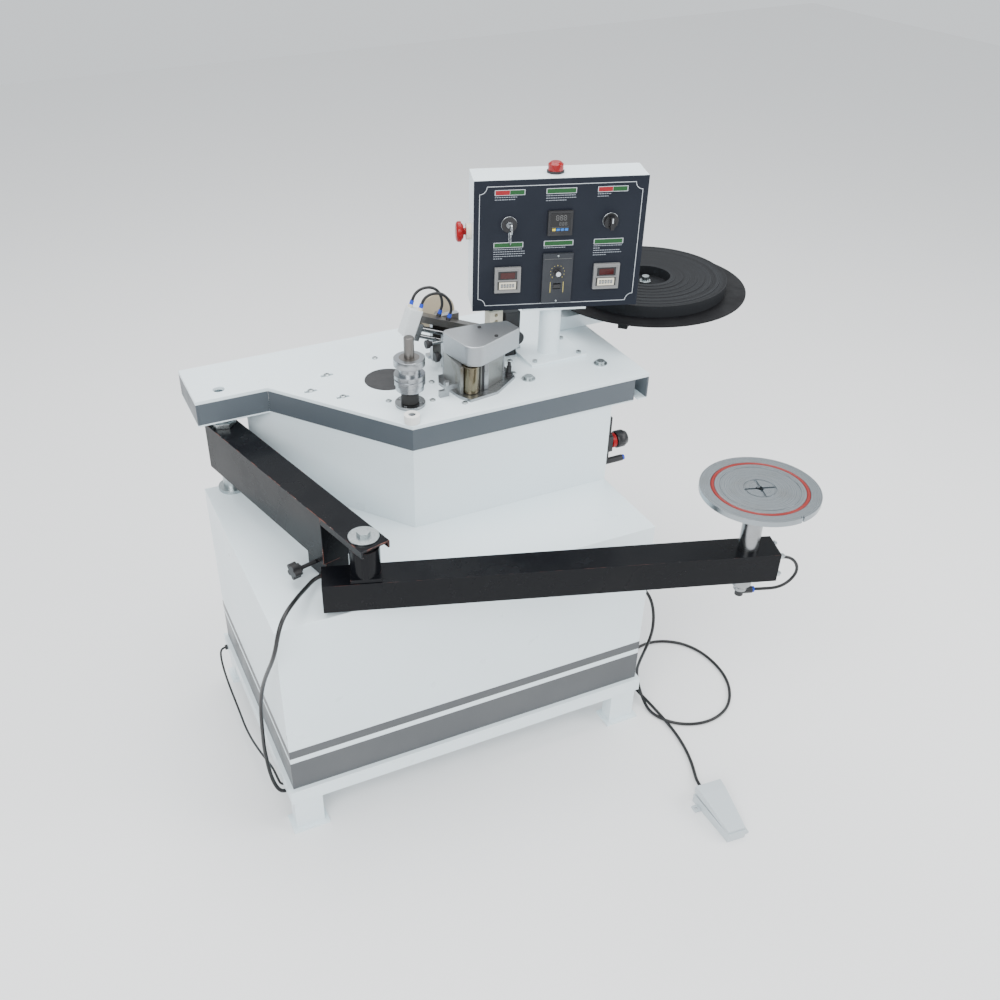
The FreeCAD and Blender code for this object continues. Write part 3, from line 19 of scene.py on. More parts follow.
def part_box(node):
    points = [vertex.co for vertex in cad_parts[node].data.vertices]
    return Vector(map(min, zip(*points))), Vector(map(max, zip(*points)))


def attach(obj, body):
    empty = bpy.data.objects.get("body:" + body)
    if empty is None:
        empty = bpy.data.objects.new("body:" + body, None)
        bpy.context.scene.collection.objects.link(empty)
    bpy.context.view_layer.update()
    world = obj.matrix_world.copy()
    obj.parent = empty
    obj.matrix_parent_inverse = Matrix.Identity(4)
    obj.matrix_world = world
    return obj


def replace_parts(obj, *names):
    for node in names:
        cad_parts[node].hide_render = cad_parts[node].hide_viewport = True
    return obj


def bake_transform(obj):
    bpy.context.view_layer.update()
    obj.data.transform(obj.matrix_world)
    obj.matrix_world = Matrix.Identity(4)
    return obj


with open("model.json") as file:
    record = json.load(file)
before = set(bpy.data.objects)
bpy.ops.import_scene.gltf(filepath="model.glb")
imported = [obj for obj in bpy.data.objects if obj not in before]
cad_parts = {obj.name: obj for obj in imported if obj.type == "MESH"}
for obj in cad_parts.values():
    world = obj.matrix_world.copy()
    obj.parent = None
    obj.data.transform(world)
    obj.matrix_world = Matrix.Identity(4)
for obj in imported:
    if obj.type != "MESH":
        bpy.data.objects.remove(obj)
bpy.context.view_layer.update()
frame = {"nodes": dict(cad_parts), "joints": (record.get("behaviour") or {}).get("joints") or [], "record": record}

MM = 0.001
JOIN_GAP = 0.002 * MM
PLATE_AREA = 0.0015
FLAT_ANGLE = math.radians(0.6)
ROUNDED_ANGLE = math.radians(32)
SMOOTH_ANGLE = math.radians(38)
RECORD = frame["record"]
BODY_OF = {node: body for body, nodes in RECORD["behaviour"]["bodies"].items() for node in nodes}
JOINTS = {joint["name"]: joint for joint in frame["joints"]}
Point = Sequence[float]
Colour = tuple[float, float, float]
Stations = Sequence[tuple[float, float]]

log = logging.getLogger("edge_banding_machine")


def middle(node: str) -> Vector:
    """Return the centre of a node's box."""
    low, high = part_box(node)
    return (low + high) / 2


def pivot(joint: str) -> Vector:
    """Return the point that a hinge turns about."""
    return Vector(JOINTS[joint]["pos_m"])


def in_mm(*stations: tuple[float, float]) -> Stations:
    """Return pairs of millimetres in metres."""
    return [(along * MM, radius * MM) for along, radius in stations]


def standing_place(origin: Vector, along: Point) -> Matrix:
    """Return the place of something that stands upright, turned so that its X follows a direction.

    Args:
        origin: The point on the machine that its upright axis goes through.
        along: The direction of its own X axis.

    Returns:
        The matrix from its own coordinates to the machine's; heights stay as they are.
    """
    turn = Matrix.Rotation(math.atan2(along[1], along[0]), 4, "Z")
    return Matrix.Translation((origin.x, origin.y, 0)) @ turn


# ---------------------------------------------------------------------------- shading
class Shader:
    """A Principled material that is put together node by node."""

    def __init__(self, name: str, colour: Colour, **sockets: float) -> None:
        """Start a material.

        Args:
            name: The material's name.
            colour: Its base colour.
            **sockets: Values of the surface's own sockets, with _ for a space.
        """
        self.material = bpy.data.materials.new(name)
        self.material.use_nodes = True
        self.nodes = self.material.node_tree.nodes
        self.links = self.material.node_tree.links
        self.surface = self.nodes["Principled BSDF"]
        self.surface.inputs["Base Color"].default_value = (*colour, 1)
        for socket, value in sockets.items():
            self.surface.inputs[socket.replace("_", " ")].default_value = value
        self.place = self.nodes.new("ShaderNodeTexCoord").outputs["Object"]
        self.colour = colour

    def add(self, kind: str, **settings: object) -> bpy.types.Node:
        """Add one node and set its properties."""
        node = self.nodes.new(kind)
        for name, value in settings.items():
            setattr(node, name, value)
        return node

    def feed(self, node: bpy.types.Node, socket: str | int, value: object) -> None:
        """Link a socket to another, or set its plain value."""
        if isinstance(value, bpy.types.NodeSocket):
            self.links.new(value, node.inputs[socket])
        else:
            node.inputs[socket].default_value = value

    def mapped(self, scale: Point = (1, 1, 1), centre: Point = (0, 0, 0)) -> bpy.types.NodeSocket:
        """Return the piece's coordinates, measured from a centre and stretched."""
        shifted = self.add("ShaderNodeVectorMath", operation="SUBTRACT")
        self.feed(shifted, 0, self.place)
        self.feed(shifted, 1, centre)
        scaled = self.add("ShaderNodeVectorMath", operation="MULTIPLY")
        self.feed(scaled, 0, shifted.outputs[0])
        self.feed(scaled, 1, scale)
        return scaled.outputs[0]

    def noise(self, scale: float, detail: float = 3, stretch: Point = (1, 1, 1)) -> bpy.types.NodeSocket:
        """Return cloudy noise, as a value from 0 to 1."""
        node = self.add("ShaderNodeTexNoise")
        self.feed(node, "Vector", self.mapped(stretch))
        self.feed(node, "Scale", scale)
        self.feed(node, "Detail", detail)
        return node.outputs[0]

    def cells(self, scale: float) -> bpy.types.NodeSocket:
        """Return the distance to the nearest of many scattered points."""
        node = self.add("ShaderNodeTexVoronoi")
        self.feed(node, "Vector", self.place)
        self.feed(node, "Scale", scale)
        return node.outputs["Distance"]

    def rings(self, centre: Point, scale: float, axis: Point = (0, 0, 1)) -> bpy.types.NodeSocket:
        """Return noise that depends only on the distance from an axis, like marks left by a lathe."""
        keep = tuple(0.0 if part else 1.0 for part in axis)
        node = self.add("ShaderNodeVectorMath", operation="LENGTH")
        self.feed(node, 0, self.mapped(keep, centre))
        return self.line_noise(node.outputs["Value"], scale)

    def line_noise(self, value: bpy.types.NodeSocket, scale: float) -> bpy.types.NodeSocket:
        """Return noise that follows one number only."""
        node = self.add("ShaderNodeTexNoise", noise_dimensions="1D")
        self.feed(node, "W", value)
        self.feed(node, "Scale", scale)
        self.feed(node, "Detail", 4)
        return node.outputs[0]

    def height(self) -> bpy.types.NodeSocket:
        """Return the height above the floor."""
        node = self.add("ShaderNodeSeparateXYZ")
        self.feed(node, 0, self.place)
        return node.outputs["Z"]

    def spread(self, value: bpy.types.NodeSocket, span: Point, result: Point) -> bpy.types.NodeSocket:
        """Return a value mapped from one span to another, and kept inside it."""
        node = self.add("ShaderNodeMapRange")
        for socket, number in zip((1, 2, 3, 4), (*span, *result)):
            self.feed(node, socket, number)
        self.feed(node, 0, value)
        return node.outputs[0]

    def tint(self, amount: bpy.types.NodeSocket, other: Colour) -> None:
        """Blend the base colour towards another by an amount."""
        node = self.add("ShaderNodeMix", data_type="RGBA")
        base = self.surface.inputs["Base Color"]
        start = base.links[0].from_socket if base.links else (*self.colour, 1)
        self.feed(node, 6, start)
        self.feed(node, 7, (*other, 1))
        self.feed(node, 0, amount)
        self.feed(self.surface, "Base Color", node.outputs[2])

    def rough(self, value: bpy.types.NodeSocket) -> None:
        """Let the roughness follow a value."""
        self.feed(self.surface, "Roughness", value)

    def bump(self, height: bpy.types.NodeSocket, distance: float, strength: float = 0.4) -> None:
        """Raise the surface by a height pattern, on top of any bump before it."""
        node = self.add("ShaderNodeBump")
        self.feed(node, "Height", height)
        self.feed(node, "Distance", distance)
        self.feed(node, "Strength", strength)
        normal = self.surface.inputs["Normal"]
        if normal.links:
            self.feed(node, "Normal", normal.links[0].from_socket)
        self.feed(self.surface, "Normal", node.outputs[0])


class Finish:
    """A surface finish. Its material is made once and then shared."""

    made: dict[str, bpy.types.Material] = {}
    name: str

    def material(self) -> bpy.types.Material:
        """Return the finish's material."""
        if self.name not in Finish.made:
            Finish.made[self.name] = self.build().material
        return Finish.made[self.name]

    def build(self) -> Shader:
        """Make the shader. Each finish has its own way."""
        raise NotImplementedError


@dataclass(frozen=True)
class Enamel(Finish):
    """Sprayed or powder-coated paint: orange peel, faint dust and uneven gloss."""

    name: str
    colour: Colour
    gloss: float = 0.32
    peel: float = 0.25
    grime: Colour = (0.45, 0.44, 0.42)
    dirty: float = 0.1
    coat: float = 0.25
    shine: float = 0.5

    def build(self) -> Shader:
        """Return the paint's shader."""
        shader = Shader(self.name, self.colour, Coat_Weight=self.coat, Coat_Roughness=0.12,
                        Specular_IOR_Level=self.shine)
        clouds = shader.noise(5, 5)
        shader.tint(shader.spread(clouds, (0.5, 0.8), (0, self.dirty)), self.grime)
        specks = shader.cells(420)
        shader.tint(shader.spread(specks, (0.0, 0.09), (self.dirty, 0)), self.grime)
        shader.rough(shader.spread(shader.noise(14, 6), (0.3, 0.7), (self.gloss * 0.8, self.gloss * 1.3)))
        shader.bump(shader.noise(700, 2), 0.00006, self.peel)
        return shader


@dataclass(frozen=True)
class WornEnamel(Finish):
    """Black enamel along an edge that rubs: it is worn through to brown primer in places."""

    name: str
    colour: Colour = (0.012, 0.013, 0.016)
    primer: Colour = (0.16, 0.06, 0.045)
    bare: Colour = (0.34, 0.33, 0.32)

    def build(self) -> Shader:
        """Return the worn paint's shader."""
        shader = Shader(self.name, self.colour, Specular_IOR_Level=0.2)
        rubbed = shader.spread(shader.noise(38, 8), (0.5, 0.62), (0, 0.85))
        shader.tint(rubbed, self.primer)
        shader.tint(shader.spread(shader.noise(140, 6), (0.64, 0.7), (0, 0.7)), self.bare)
        shader.rough(shader.spread(rubbed, (0, 0.85), (0.22, 0.55)))
        shader.bump(rubbed, -0.0001, 0.5)
        return shader


class Marks(Enum):
    """How the tool marks of a metal surface run."""

    RINGS = "rings"
    TURNED = "turned"
    BRUSHED = "brushed"
    CAST = "cast"


@dataclass(frozen=True)
class BareMetal(Finish):
    """Machined, plated or cast metal."""

    name: str
    colour: Colour
    roughness: float = 0.28
    marks: Marks = Marks.TURNED
    centre: tuple[float, float, float] = (0.0, 0.0, 0.0)
    stain: Colour = (0.22, 0.2, 0.17)
    stained: float = 0.25

    def build(self) -> Shader:
        """Return the metal's shader."""
        shader = Shader(self.name, self.colour, Metallic=1.0)
        if self.marks is Marks.RINGS:
            pattern = shader.rings(self.centre, 900)
        elif self.marks is Marks.TURNED:
            pattern = shader.line_noise(shader.height(), 1500)
        elif self.marks is Marks.BRUSHED:
            pattern = shader.noise(60, 4, (1, 24, 24))
        else:
            pattern = shader.noise(420, 5)
        depth = 0.00012 if self.marks is Marks.CAST else 0.00005
        shader.bump(pattern, depth, 0.45)
        low, high = self.roughness * 0.75, self.roughness * 1.4
        shader.rough(shader.spread(pattern, (0.3, 0.7), (low, high)))
        shader.tint(shader.spread(shader.noise(26, 6), (0.55, 0.75), (0, self.stained)), self.stain)
        return shader


@dataclass(frozen=True)
class Moulded(Finish):
    """Moulded plastic or rubber with a fine grain."""

    name: str
    colour: Colour
    roughness: float = 0.5
    grain: float = 900
    depth: float = 0.00008
    dust: Colour = (0.3, 0.3, 0.29)
    dusty: float = 0.06
    shine: float = 0.4

    def build(self) -> Shader:
        """Return the plastic's shader."""
        shader = Shader(self.name, self.colour, Specular_IOR_Level=self.shine)
        pattern = shader.noise(self.grain, 3)
        shader.bump(pattern, self.depth, 0.5)
        low, high = self.roughness * 0.85, min(1.0, self.roughness * 1.2)
        shader.rough(shader.spread(shader.noise(30, 4), (0.3, 0.7), (low, high)))
        shader.tint(shader.spread(shader.noise(9, 7), (0.5, 0.8), (0, self.dusty)), self.dust)
        return shader


@dataclass(frozen=True)
class Printed(Finish):
    """Screen-printed ink or a plain sticker: flat colour with a slightly broken edge and gloss."""

    name: str
    colour: Colour
    roughness: float = 0.4

    def build(self) -> Shader:
        """Return the ink's shader."""
        shader = Shader(self.name, self.colour)
        dark = tuple(part * 0.72 for part in self.colour)
        shader.tint(shader.spread(shader.noise(500, 4), (0.45, 0.7), (0, 0.5)), dark)
        low, high = self.roughness * 0.8, self.roughness * 1.2
        shader.rough(shader.spread(shader.noise(90, 3), (0.3, 0.7), (low, high)))
        shader.bump(shader.noise(1500, 2), 0.00002, 0.3)
        return shader


@dataclass(frozen=True)
class WoundTape(Finish):
    """The edge of many tight turns of tape: fine concentric lines of two greys."""

    name: str
    centre: tuple[float, float, float]
    light: Colour = (0.022, 0.024, 0.027)
    dark: Colour = (0.004, 0.004, 0.005)

    def build(self) -> Shader:
        """Return the coil's shader."""
        shader = Shader(self.name, self.light, Specular_IOR_Level=0.15)
        turns = shader.rings(self.centre, 1300)
        shader.tint(shader.spread(turns, (0.42, 0.6), (0, 1)), self.dark)
        bands = shader.rings(self.centre, 90)
        shader.tint(shader.spread(bands, (0.45, 0.65), (0, 0.5)), self.dark)
        shader.rough(shader.spread(turns, (0.3, 0.7), (0.45, 0.7)))
        shader.bump(turns, 0.00035, 0.7)
        return shader


@dataclass(frozen=True)
class GlueFilm(Finish):
    """Polished brass under a running film of brown hot-melt glue."""

    name: str
    metal: Colour = (0.2, 0.17, 0.1)
    glue: Colour = (0.045, 0.034, 0.014)

    def build(self) -> Shader:
        """Return the glued surface's shader."""
        shader = Shader(self.name, self.metal, Metallic=0.85, Coat_Weight=0.7, Coat_Roughness=0.05)
        runs = shader.noise(24, 5, (1, 1, 0.18))
        shader.tint(shader.spread(runs, (0.35, 0.62), (0.1, 0.95)), self.glue)
        shader.rough(shader.spread(runs, (0.3, 0.7), (0.12, 0.34)))
        shader.bump(runs, 0.0006, 0.5)
        return shader


@dataclass(frozen=True)
class Lens(Finish):
    """Coloured clear plastic of a lamp or a display window."""

    name: str
    colour: Colour
    clear: float = 0.35

    def build(self) -> Shader:
        """Return the lens's shader."""
        shader = Shader(self.name, self.colour, Transmission_Weight=self.clear, IOR=1.46)
        shader.rough(shader.spread(shader.noise(60, 3), (0.3, 0.7), (0.05, 0.14)))
        shader.bump(shader.noise(200, 2), 0.00005, 0.2)
        return shader


@dataclass(frozen=True)
class Floor(Finish):
    """Plain pale studio floor."""

    name: str
    colour: Colour = (0.9, 0.9, 0.9)

    def build(self) -> Shader:
        """Return the floor's shader."""
        shader = Shader(self.name, self.colour)
        shader.rough(shader.spread(shader.noise(3, 3), (0.3, 0.7), (0.75, 0.9)))
        return shader


WHITE = Enamel("white_powder_coat", (0.78, 0.88, 0.92), 0.34, dirty=0.05)
GREY_BLUE = Enamel("grey_blue_band", (0.08, 0.095, 0.11), 0.38, dirty=0.04, coat=0.0, shine=0.35)
BAND_GREY = Enamel("dark_grey_band", (0.085, 0.09, 0.096), 0.36, dirty=0.04, coat=0.0, shine=0.35)
LIGHT_GREY = Enamel("light_grey_enamel", (0.66, 0.69, 0.7), 0.3)
GLOSS_BLACK = Enamel("gloss_black_enamel", (0.004, 0.0045, 0.006), 0.24, 0.3, (0.1, 0.09, 0.08), 0.03, 0.0,
                     0.14)
WORN_BLACK = WornEnamel("worn_black_enamel")
PANEL_NAVY = Enamel("dark_panel_foil", (0.01, 0.013, 0.021), 0.42, 0.5, (0.05, 0.06, 0.08), 0.12, 0.0, 0.2)
PEDAL_ENAMEL = Enamel("pedal_hammer_enamel", (0.52, 0.58, 0.61), 0.4, 0.9)
MOTOR_ENAMEL = Enamel("motor_enamel", (0.1, 0.12, 0.15), 0.4)
PUMP_ENAMEL = Enamel("pump_enamel", (0.03, 0.09, 0.2), 0.4)
ZINC = BareMetal("zinc_plated_steel", (0.44, 0.48, 0.49), 0.3, Marks.CAST)
STEEL = BareMetal("turned_steel", (0.3, 0.31, 0.32), 0.25)
DARK_STEEL = BareMetal("dark_shaft_steel", (0.2, 0.19, 0.18), 0.36)
BRUSHED = BareMetal("brushed_steel", (0.34, 0.35, 0.36), 0.3, Marks.BRUSHED)
CHROME = BareMetal("bright_chrome", (0.38, 0.4, 0.42), 0.24, stained=0.2)
CAST_ALUMINIUM = BareMetal("satin_cast_aluminium", (0.44, 0.46, 0.48), 0.42, Marks.CAST, stained=0.1)
POT_METAL = BareMetal("milled_pot_block", (0.26, 0.26, 0.25), 0.32, Marks.BRUSHED, stain=(0.1, 0.07, 0.03),
                      stained=0.6)
BLACK = Moulded("black_plastic", (0.02, 0.02, 0.022))
GLOSSY_BLACK = Moulded("glossy_black_plastic", (0.012, 0.012, 0.014), 0.16, 300, 0.00002)
CONTROLLER_GREY = Moulded("controller_grey_plastic", (0.017, 0.02, 0.027), 0.45)
BEZEL_GREY = Moulded("instrument_bezel_grey", (0.2, 0.2, 0.2), 0.3)
CREAM = Moulded("cream_plastic", (0.66, 0.62, 0.5), 0.42)
BEIGE = Moulded("beige_guard", (0.6, 0.5, 0.36), 0.5)
BLUE_COLLAR = Moulded("blue_collar", (0.01, 0.05, 0.5), 0.3)
RUBBER = Moulded("black_rubber", (0.014, 0.014, 0.014), 0.7, 600, 0.00015)
JACKET = Moulded("hose_jacket", (0.013, 0.013, 0.014), 0.34, 400, 0.00004)
SEAL_RED = Moulded("red_silicone", (0.2, 0.008, 0.006), 0.45, 500, dusty=0.0)
STOP_RED = Moulded("glossy_red_plastic", (0.27, 0.001, 0.003), 0.25, 200, 0.00002, dusty=0.0, shine=0.25)
NYLON = Moulded("white_nylon", (0.8, 0.8, 0.77), 0.4, 500)
BOARD = Moulded("black_reel_board", (0.005, 0.005, 0.006), 0.5, 240, 0.0001, dusty=0.02, shine=0.15)
LAMP_RED = Lens("red_lamp_lens", (0.26, 0.001, 0.002), 0.05)
DISPLAY_RED = Lens("red_display_window", (0.045, 0.002, 0.002), 0.05)
DISPLAY_DARK = Lens("dark_display_window", (0.006, 0.006, 0.007), 0.05)
INK_WHITE = Printed("white_ink", (0.6, 0.64, 0.68))
INK_FAINT = Printed("faint_white_ink", (0.3, 0.33, 0.37))
INK_RED = Printed("red_ink", (0.28, 0.001, 0.006))
INK_GREEN = Printed("green_ink", (0.002, 0.07, 0.01))
INK_GOLD = Printed("gold_ink", (0.5, 0.42, 0.12))
INK_GREY = Printed("unlit_segments", (0.12, 0.12, 0.12))
KEY_BLUE = Printed("blue_membrane_key", (0.015, 0.16, 0.55))
KEY_YELLOW = Printed("yellow_membrane_key", (0.7, 0.55, 0.05))
BRASS_GLUE = GlueFilm("glued_brass")


# --------------------------------------------------------------------------- modelling
def activate(*pieces: bpy.types.Object) -> None:
    """Select only these pieces and make the first one active."""
    bpy.ops.object.select_all(action="DESELECT")
    for piece in pieces:
        piece.select_set(True)
    bpy.context.view_layer.objects.active = pieces[0]


def edit(piece: bpy.types.Object) -> None:
    """Open a piece in edit mode with all of it selected."""
    activate(piece)
    bpy.ops.object.mode_set(mode="EDIT")
    bpy.ops.mesh.select_all(action="SELECT")


def close() -> None:
    """Leave edit mode."""
    bpy.ops.object.mode_set(mode="OBJECT")


def settle(piece: bpy.types.Object, place: Matrix | None = None) -> bpy.types.Object:
    """Put a piece's place into its mesh, so that its object sits at the origin."""
    if place is not None:
        piece.matrix_basis = place @ piece.matrix_basis
    activate(piece)
    bpy.ops.object.transform_apply(location=True, rotation=True, scale=True)
    return piece


def dress(piece: bpy.types.Object, finish: Finish) -> bpy.types.Object:
    """Give a whole piece one finish."""
    piece.data.materials.clear()
    piece.data.materials.append(finish.material())
    return piece


def mount(piece: bpy.types.Object, body: str) -> bpy.types.Object:
    """Let a piece ride on a body."""
    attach(piece, body)
    return piece


def round_edges(piece: bpy.types.Object, width: float, segments: int = 2,
                worn: int | None = None) -> bpy.types.Object:
    """Round every sharp edge and smooth the shading.

    Args:
        piece: The piece to finish.
        width: How wide the rounding is.
        segments: The rounding's steps.
        worn: The number of the material on the rounded strips, if it is another one.

    Returns:
        The same piece.
    """
    activate(piece)
    if width:
        bevel = piece.modifiers.new("rounding", "BEVEL")
        bevel.width = width
        bevel.segments = segments
        bevel.limit_method = "ANGLE"
        bevel.angle_limit = ROUNDED_ANGLE
        if worn is not None:
            bevel.material = worn
        bpy.ops.object.modifier_apply(modifier=bevel.name)
    bpy.ops.object.shade_smooth_by_angle(angle=SMOOTH_ANGLE)
    for face in piece.data.polygons:
        if face.area > PLATE_AREA:
            face.use_smooth = False
    weights = piece.modifiers.new("weights", "WEIGHTED_NORMAL")
    weights.keep_sharp = True
    bpy.ops.object.modifier_apply(modifier=weights.name)
    return piece


def dressed_node(node: str, finish: Finish, width: float = 0.5 * MM, segments: int = 2,
                 worn: Finish | None = None) -> bpy.types.Object:
    """Stand a rounded and dressed copy of a CAD node in its place.

    Args:
        node: The node's name.
        finish: The copy's finish.
        width: How wide its rounded edges are.
        segments: The rounding's steps.
        worn: A finish for the rounded strips.

    Returns:
        The copy, which rides on the node's body and replaces it.
    """
    source = frame["nodes"][node]
    piece = bpy.data.objects.new(f"{node}_dressed", source.data.copy())
    bpy.context.scene.collection.objects.link(piece)
    edit(piece)
    bpy.ops.mesh.remove_doubles(threshold=JOIN_GAP)
    bpy.ops.mesh.select_mode(type="EDGE")
    bpy.ops.mesh.select_all(action="DESELECT")
    bpy.ops.mesh.select_non_manifold(extend=False, use_wire=False, use_boundary=False, use_multi_face=True,
                                     use_non_contiguous=False, use_verts=False)
    bpy.ops.mesh.edge_split(type="EDGE")
    bpy.ops.mesh.select_all(action="SELECT")
    bpy.ops.mesh.dissolve_limited(angle_limit=FLAT_ANGLE)
    close()
    dress(piece, finish)
    if worn:
        piece.data.materials.append(worn.material())
    for face in piece.data.polygons:
        face.material_index = 0
    round_edges(piece, width, segments, 1 if worn else None)
    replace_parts(piece, node)
    return mount(piece, BODY_OF[node])


def repaint(piece: bpy.types.Object, low: Point, high: Point, finish: Finish,
            place: Matrix | None = None) -> None:
    """Give another finish to the faces whose middle lies in a box.

    Args:
        piece: The piece that gets it.
        low: The box's low corner.
        high: The box's high corner.
        finish: The finish.
        place: The frame that the box is given in, if it isn't the machine's.
    """
    inward = place.inverted() if place else Matrix.Identity(4)
    piece.data.materials.append(finish.material())
    number = len(piece.data.materials) - 1
    for face in piece.data.polygons:
        at = inward @ face.center
        if all(a - 1e-6 <= c <= b + 1e-6 for a, c, b in zip(low, at, high)):
            face.material_index = number


def block(name: str, low: Point, high: Point, finish: Finish, rounding: float = 0.0,
          place: Matrix | None = None) -> bpy.types.Object:
    """Return a block between two corners, with rounded edges."""
    bpy.ops.object.select_all(action="DESELECT")
    bpy.ops.mesh.primitive_cube_add(size=1, location=[(a + b) / 2 for a, b in zip(low, high)])
    piece = bpy.context.object
    piece.name = name
    piece.scale = [b - a for a, b in zip(low, high)]
    settle(piece, place)
    dress(piece, finish)
    if rounding:
        round_edges(piece, rounding)
    return piece


def towards(axis: Point) -> Matrix:
    """Return the turn that carries +Z to an axis."""
    return Vector(axis).to_track_quat("Z", "Y").to_matrix().to_4x4()


def ribbed(piece: bpy.types.Object, picked: Callable[[bpy.types.MeshPolygon], bool], margin: float,
           height: float) -> None:
    """Inset each picked face of a piece and move it along its normal.

    Args:
        piece: The piece.
        picked: Says of a face whether it gets a rib.
        margin: How far the rib stays from the face's edges.
        height: How far it stands out, or below 0 how deep it lies.
    """
    edit(piece)
    bpy.ops.mesh.select_all(action="DESELECT")
    close()
    for face in piece.data.polygons:
        face.select = picked(face)
    bpy.ops.object.mode_set(mode="EDIT")
    bpy.ops.mesh.select_mode(type="FACE")
    bpy.ops.mesh.inset(thickness=margin, use_individual=True)
    bpy.ops.transform.shrink_fatten(value=height)
    close()


def turned(name: str, centre: Point, stations: Stations, finish: Finish,
           axis: Point = (0, 0, 1), sides: int = 48, rounding: float = 0.4 * MM,
           place: Matrix | None = None) -> bpy.types.Object:
    """Return a round solid, drawn out station by station along its axis.

    Args:
        name: The piece's name.
        centre: The point that the distances along the axis start from.
        stations: Pairs of distance along the axis and radius.
        finish: The piece's finish.
        axis: The way the axis points.
        sides: How many flats the round has.
        rounding: How wide its rims are rounded.
        place: The frame that centre and axis are given in, if it isn't the machine's.

    Returns:
        The finished piece.
    """
    bpy.ops.object.select_all(action="DESELECT")
    level, radius = stations[0]
    bpy.ops.mesh.primitive_circle_add(vertices=sides, radius=radius, fill_type="NGON", location=(0, 0, level))
    piece = bpy.context.object
    piece.name = name
    edit(piece)
    for next_level, next_radius in stations[1:]:
        bpy.ops.mesh.extrude_region_move(TRANSFORM_OT_translate={"value": (0, 0, next_level - level)})
        ratio = next_radius / radius
        bpy.ops.transform.resize(value=(ratio, ratio, 1), center_override=(0, 0, next_level))
        level, radius = next_level, next_radius
    bpy.ops.mesh.select_all(action="SELECT")
    bpy.ops.mesh.normals_make_consistent(inside=False)
    close()
    lie = Matrix.Translation(centre) @ towards(axis)
    settle(piece, (place @ lie) if place else lie)
    dress(piece, finish)
    return round_edges(piece, rounding)


def hoop(name: str, centre: Point, radius: float, thick: float, finish: Finish,
         axis: Point = (0, 0, 1), place: Matrix | None = None) -> bpy.types.Object:
    """Return a round wire ring."""
    bpy.ops.object.select_all(action="DESELECT")
    bpy.ops.mesh.primitive_torus_add(major_radius=radius, minor_radius=thick, major_segments=48,
                                     minor_segments=10)
    piece = bpy.context.object
    piece.name = name
    lie = Matrix.Translation(centre) @ towards(axis)
    settle(piece, (place @ lie) if place else lie)
    dress(piece, finish)
    activate(piece)
    bpy.ops.object.shade_smooth()
    return piece


def joined(name: str, pieces: Iterable[bpy.types.Object]) -> bpy.types.Object:
    """Join several small pieces into one, and keep their finishes."""
    members = list(pieces)
    activate(*members)
    if len(members) > 1:
        bpy.ops.object.join()
    piece = bpy.context.view_layer.objects.active
    piece.name = name
    return piece


# ------------------------------------------------------------------------------ studio
@dataclass(frozen=True)
class Studio:
    """Camera, floor and soft lights."""

    eye: tuple[float, float, float] = (-0.6945, -1.6709, 1.7633)
    down: float = 35.87
    right: float = 22.92
    roll: float = -0.84
    lens: float = 37.8
    shift: tuple[float, float] = (0.0711, 0.0378)
    floor_size: float = 14.0

    def camera(self) -> None:
        """Make the camera and set it as the scene's."""
        data = bpy.data.cameras.new("camera")
        data.lens = self.lens
        data.shift_x, data.shift_y = self.shift
        camera = bpy.data.objects.new("camera", data)
        bpy.context.scene.collection.objects.link(camera)
        turn = (Matrix.Rotation(math.radians(-self.right), 4, "Z")
                @ Matrix.Rotation(math.radians(90 - self.down), 4, "X")
                @ Matrix.Rotation(math.radians(self.roll), 4, "Z"))
        camera.matrix_world = Matrix.Translation(self.eye) @ turn
        bpy.context.scene.camera = camera

    def floor(self) -> None:
        """Lay the floor under the machine."""
        bpy.ops.object.select_all(action="DESELECT")
        bpy.ops.mesh.primitive_plane_add(size=self.floor_size, location=(0, 0, 0))
        plane = settle(bpy.context.object)
        plane.name = "floor"
        dress(plane, Floor("pale_floor"))

    def lamp(self, name: str, at: Point, size: float, power: float, aim: Point = (0, 0, 0.6)) -> None:
        """Hang one square soft light that points at a spot."""
        data = bpy.data.lights.new(name, "AREA")
        data.size = size
        data.energy = power
        lamp = bpy.data.objects.new(name, data)
        bpy.context.scene.collection.objects.link(lamp)
        lamp.location = at
        lamp.rotation_euler = (Vector(aim) - Vector(at)).to_track_quat("-Z", "Y").to_euler()

    def lights(self) -> None:
        """Light the machine from above and both sides."""
        world = bpy.data.worlds.new("studio")
        bpy.context.scene.world = world
        world.use_nodes = True
        sky = world.node_tree.nodes["Background"]
        sky.inputs["Color"].default_value = (0.93, 0.97, 1.0, 1)
        sky.inputs["Strength"].default_value = 1.0
        self.lamp("key_light", (-2.2, -2.6, 3.2), 2.4, 150)
        self.lamp("fill_light", (2.6, -1.8, 2.2), 2.0, 60)
        self.lamp("top_light", (0.3, 0.6, 3.4), 2.6, 110)


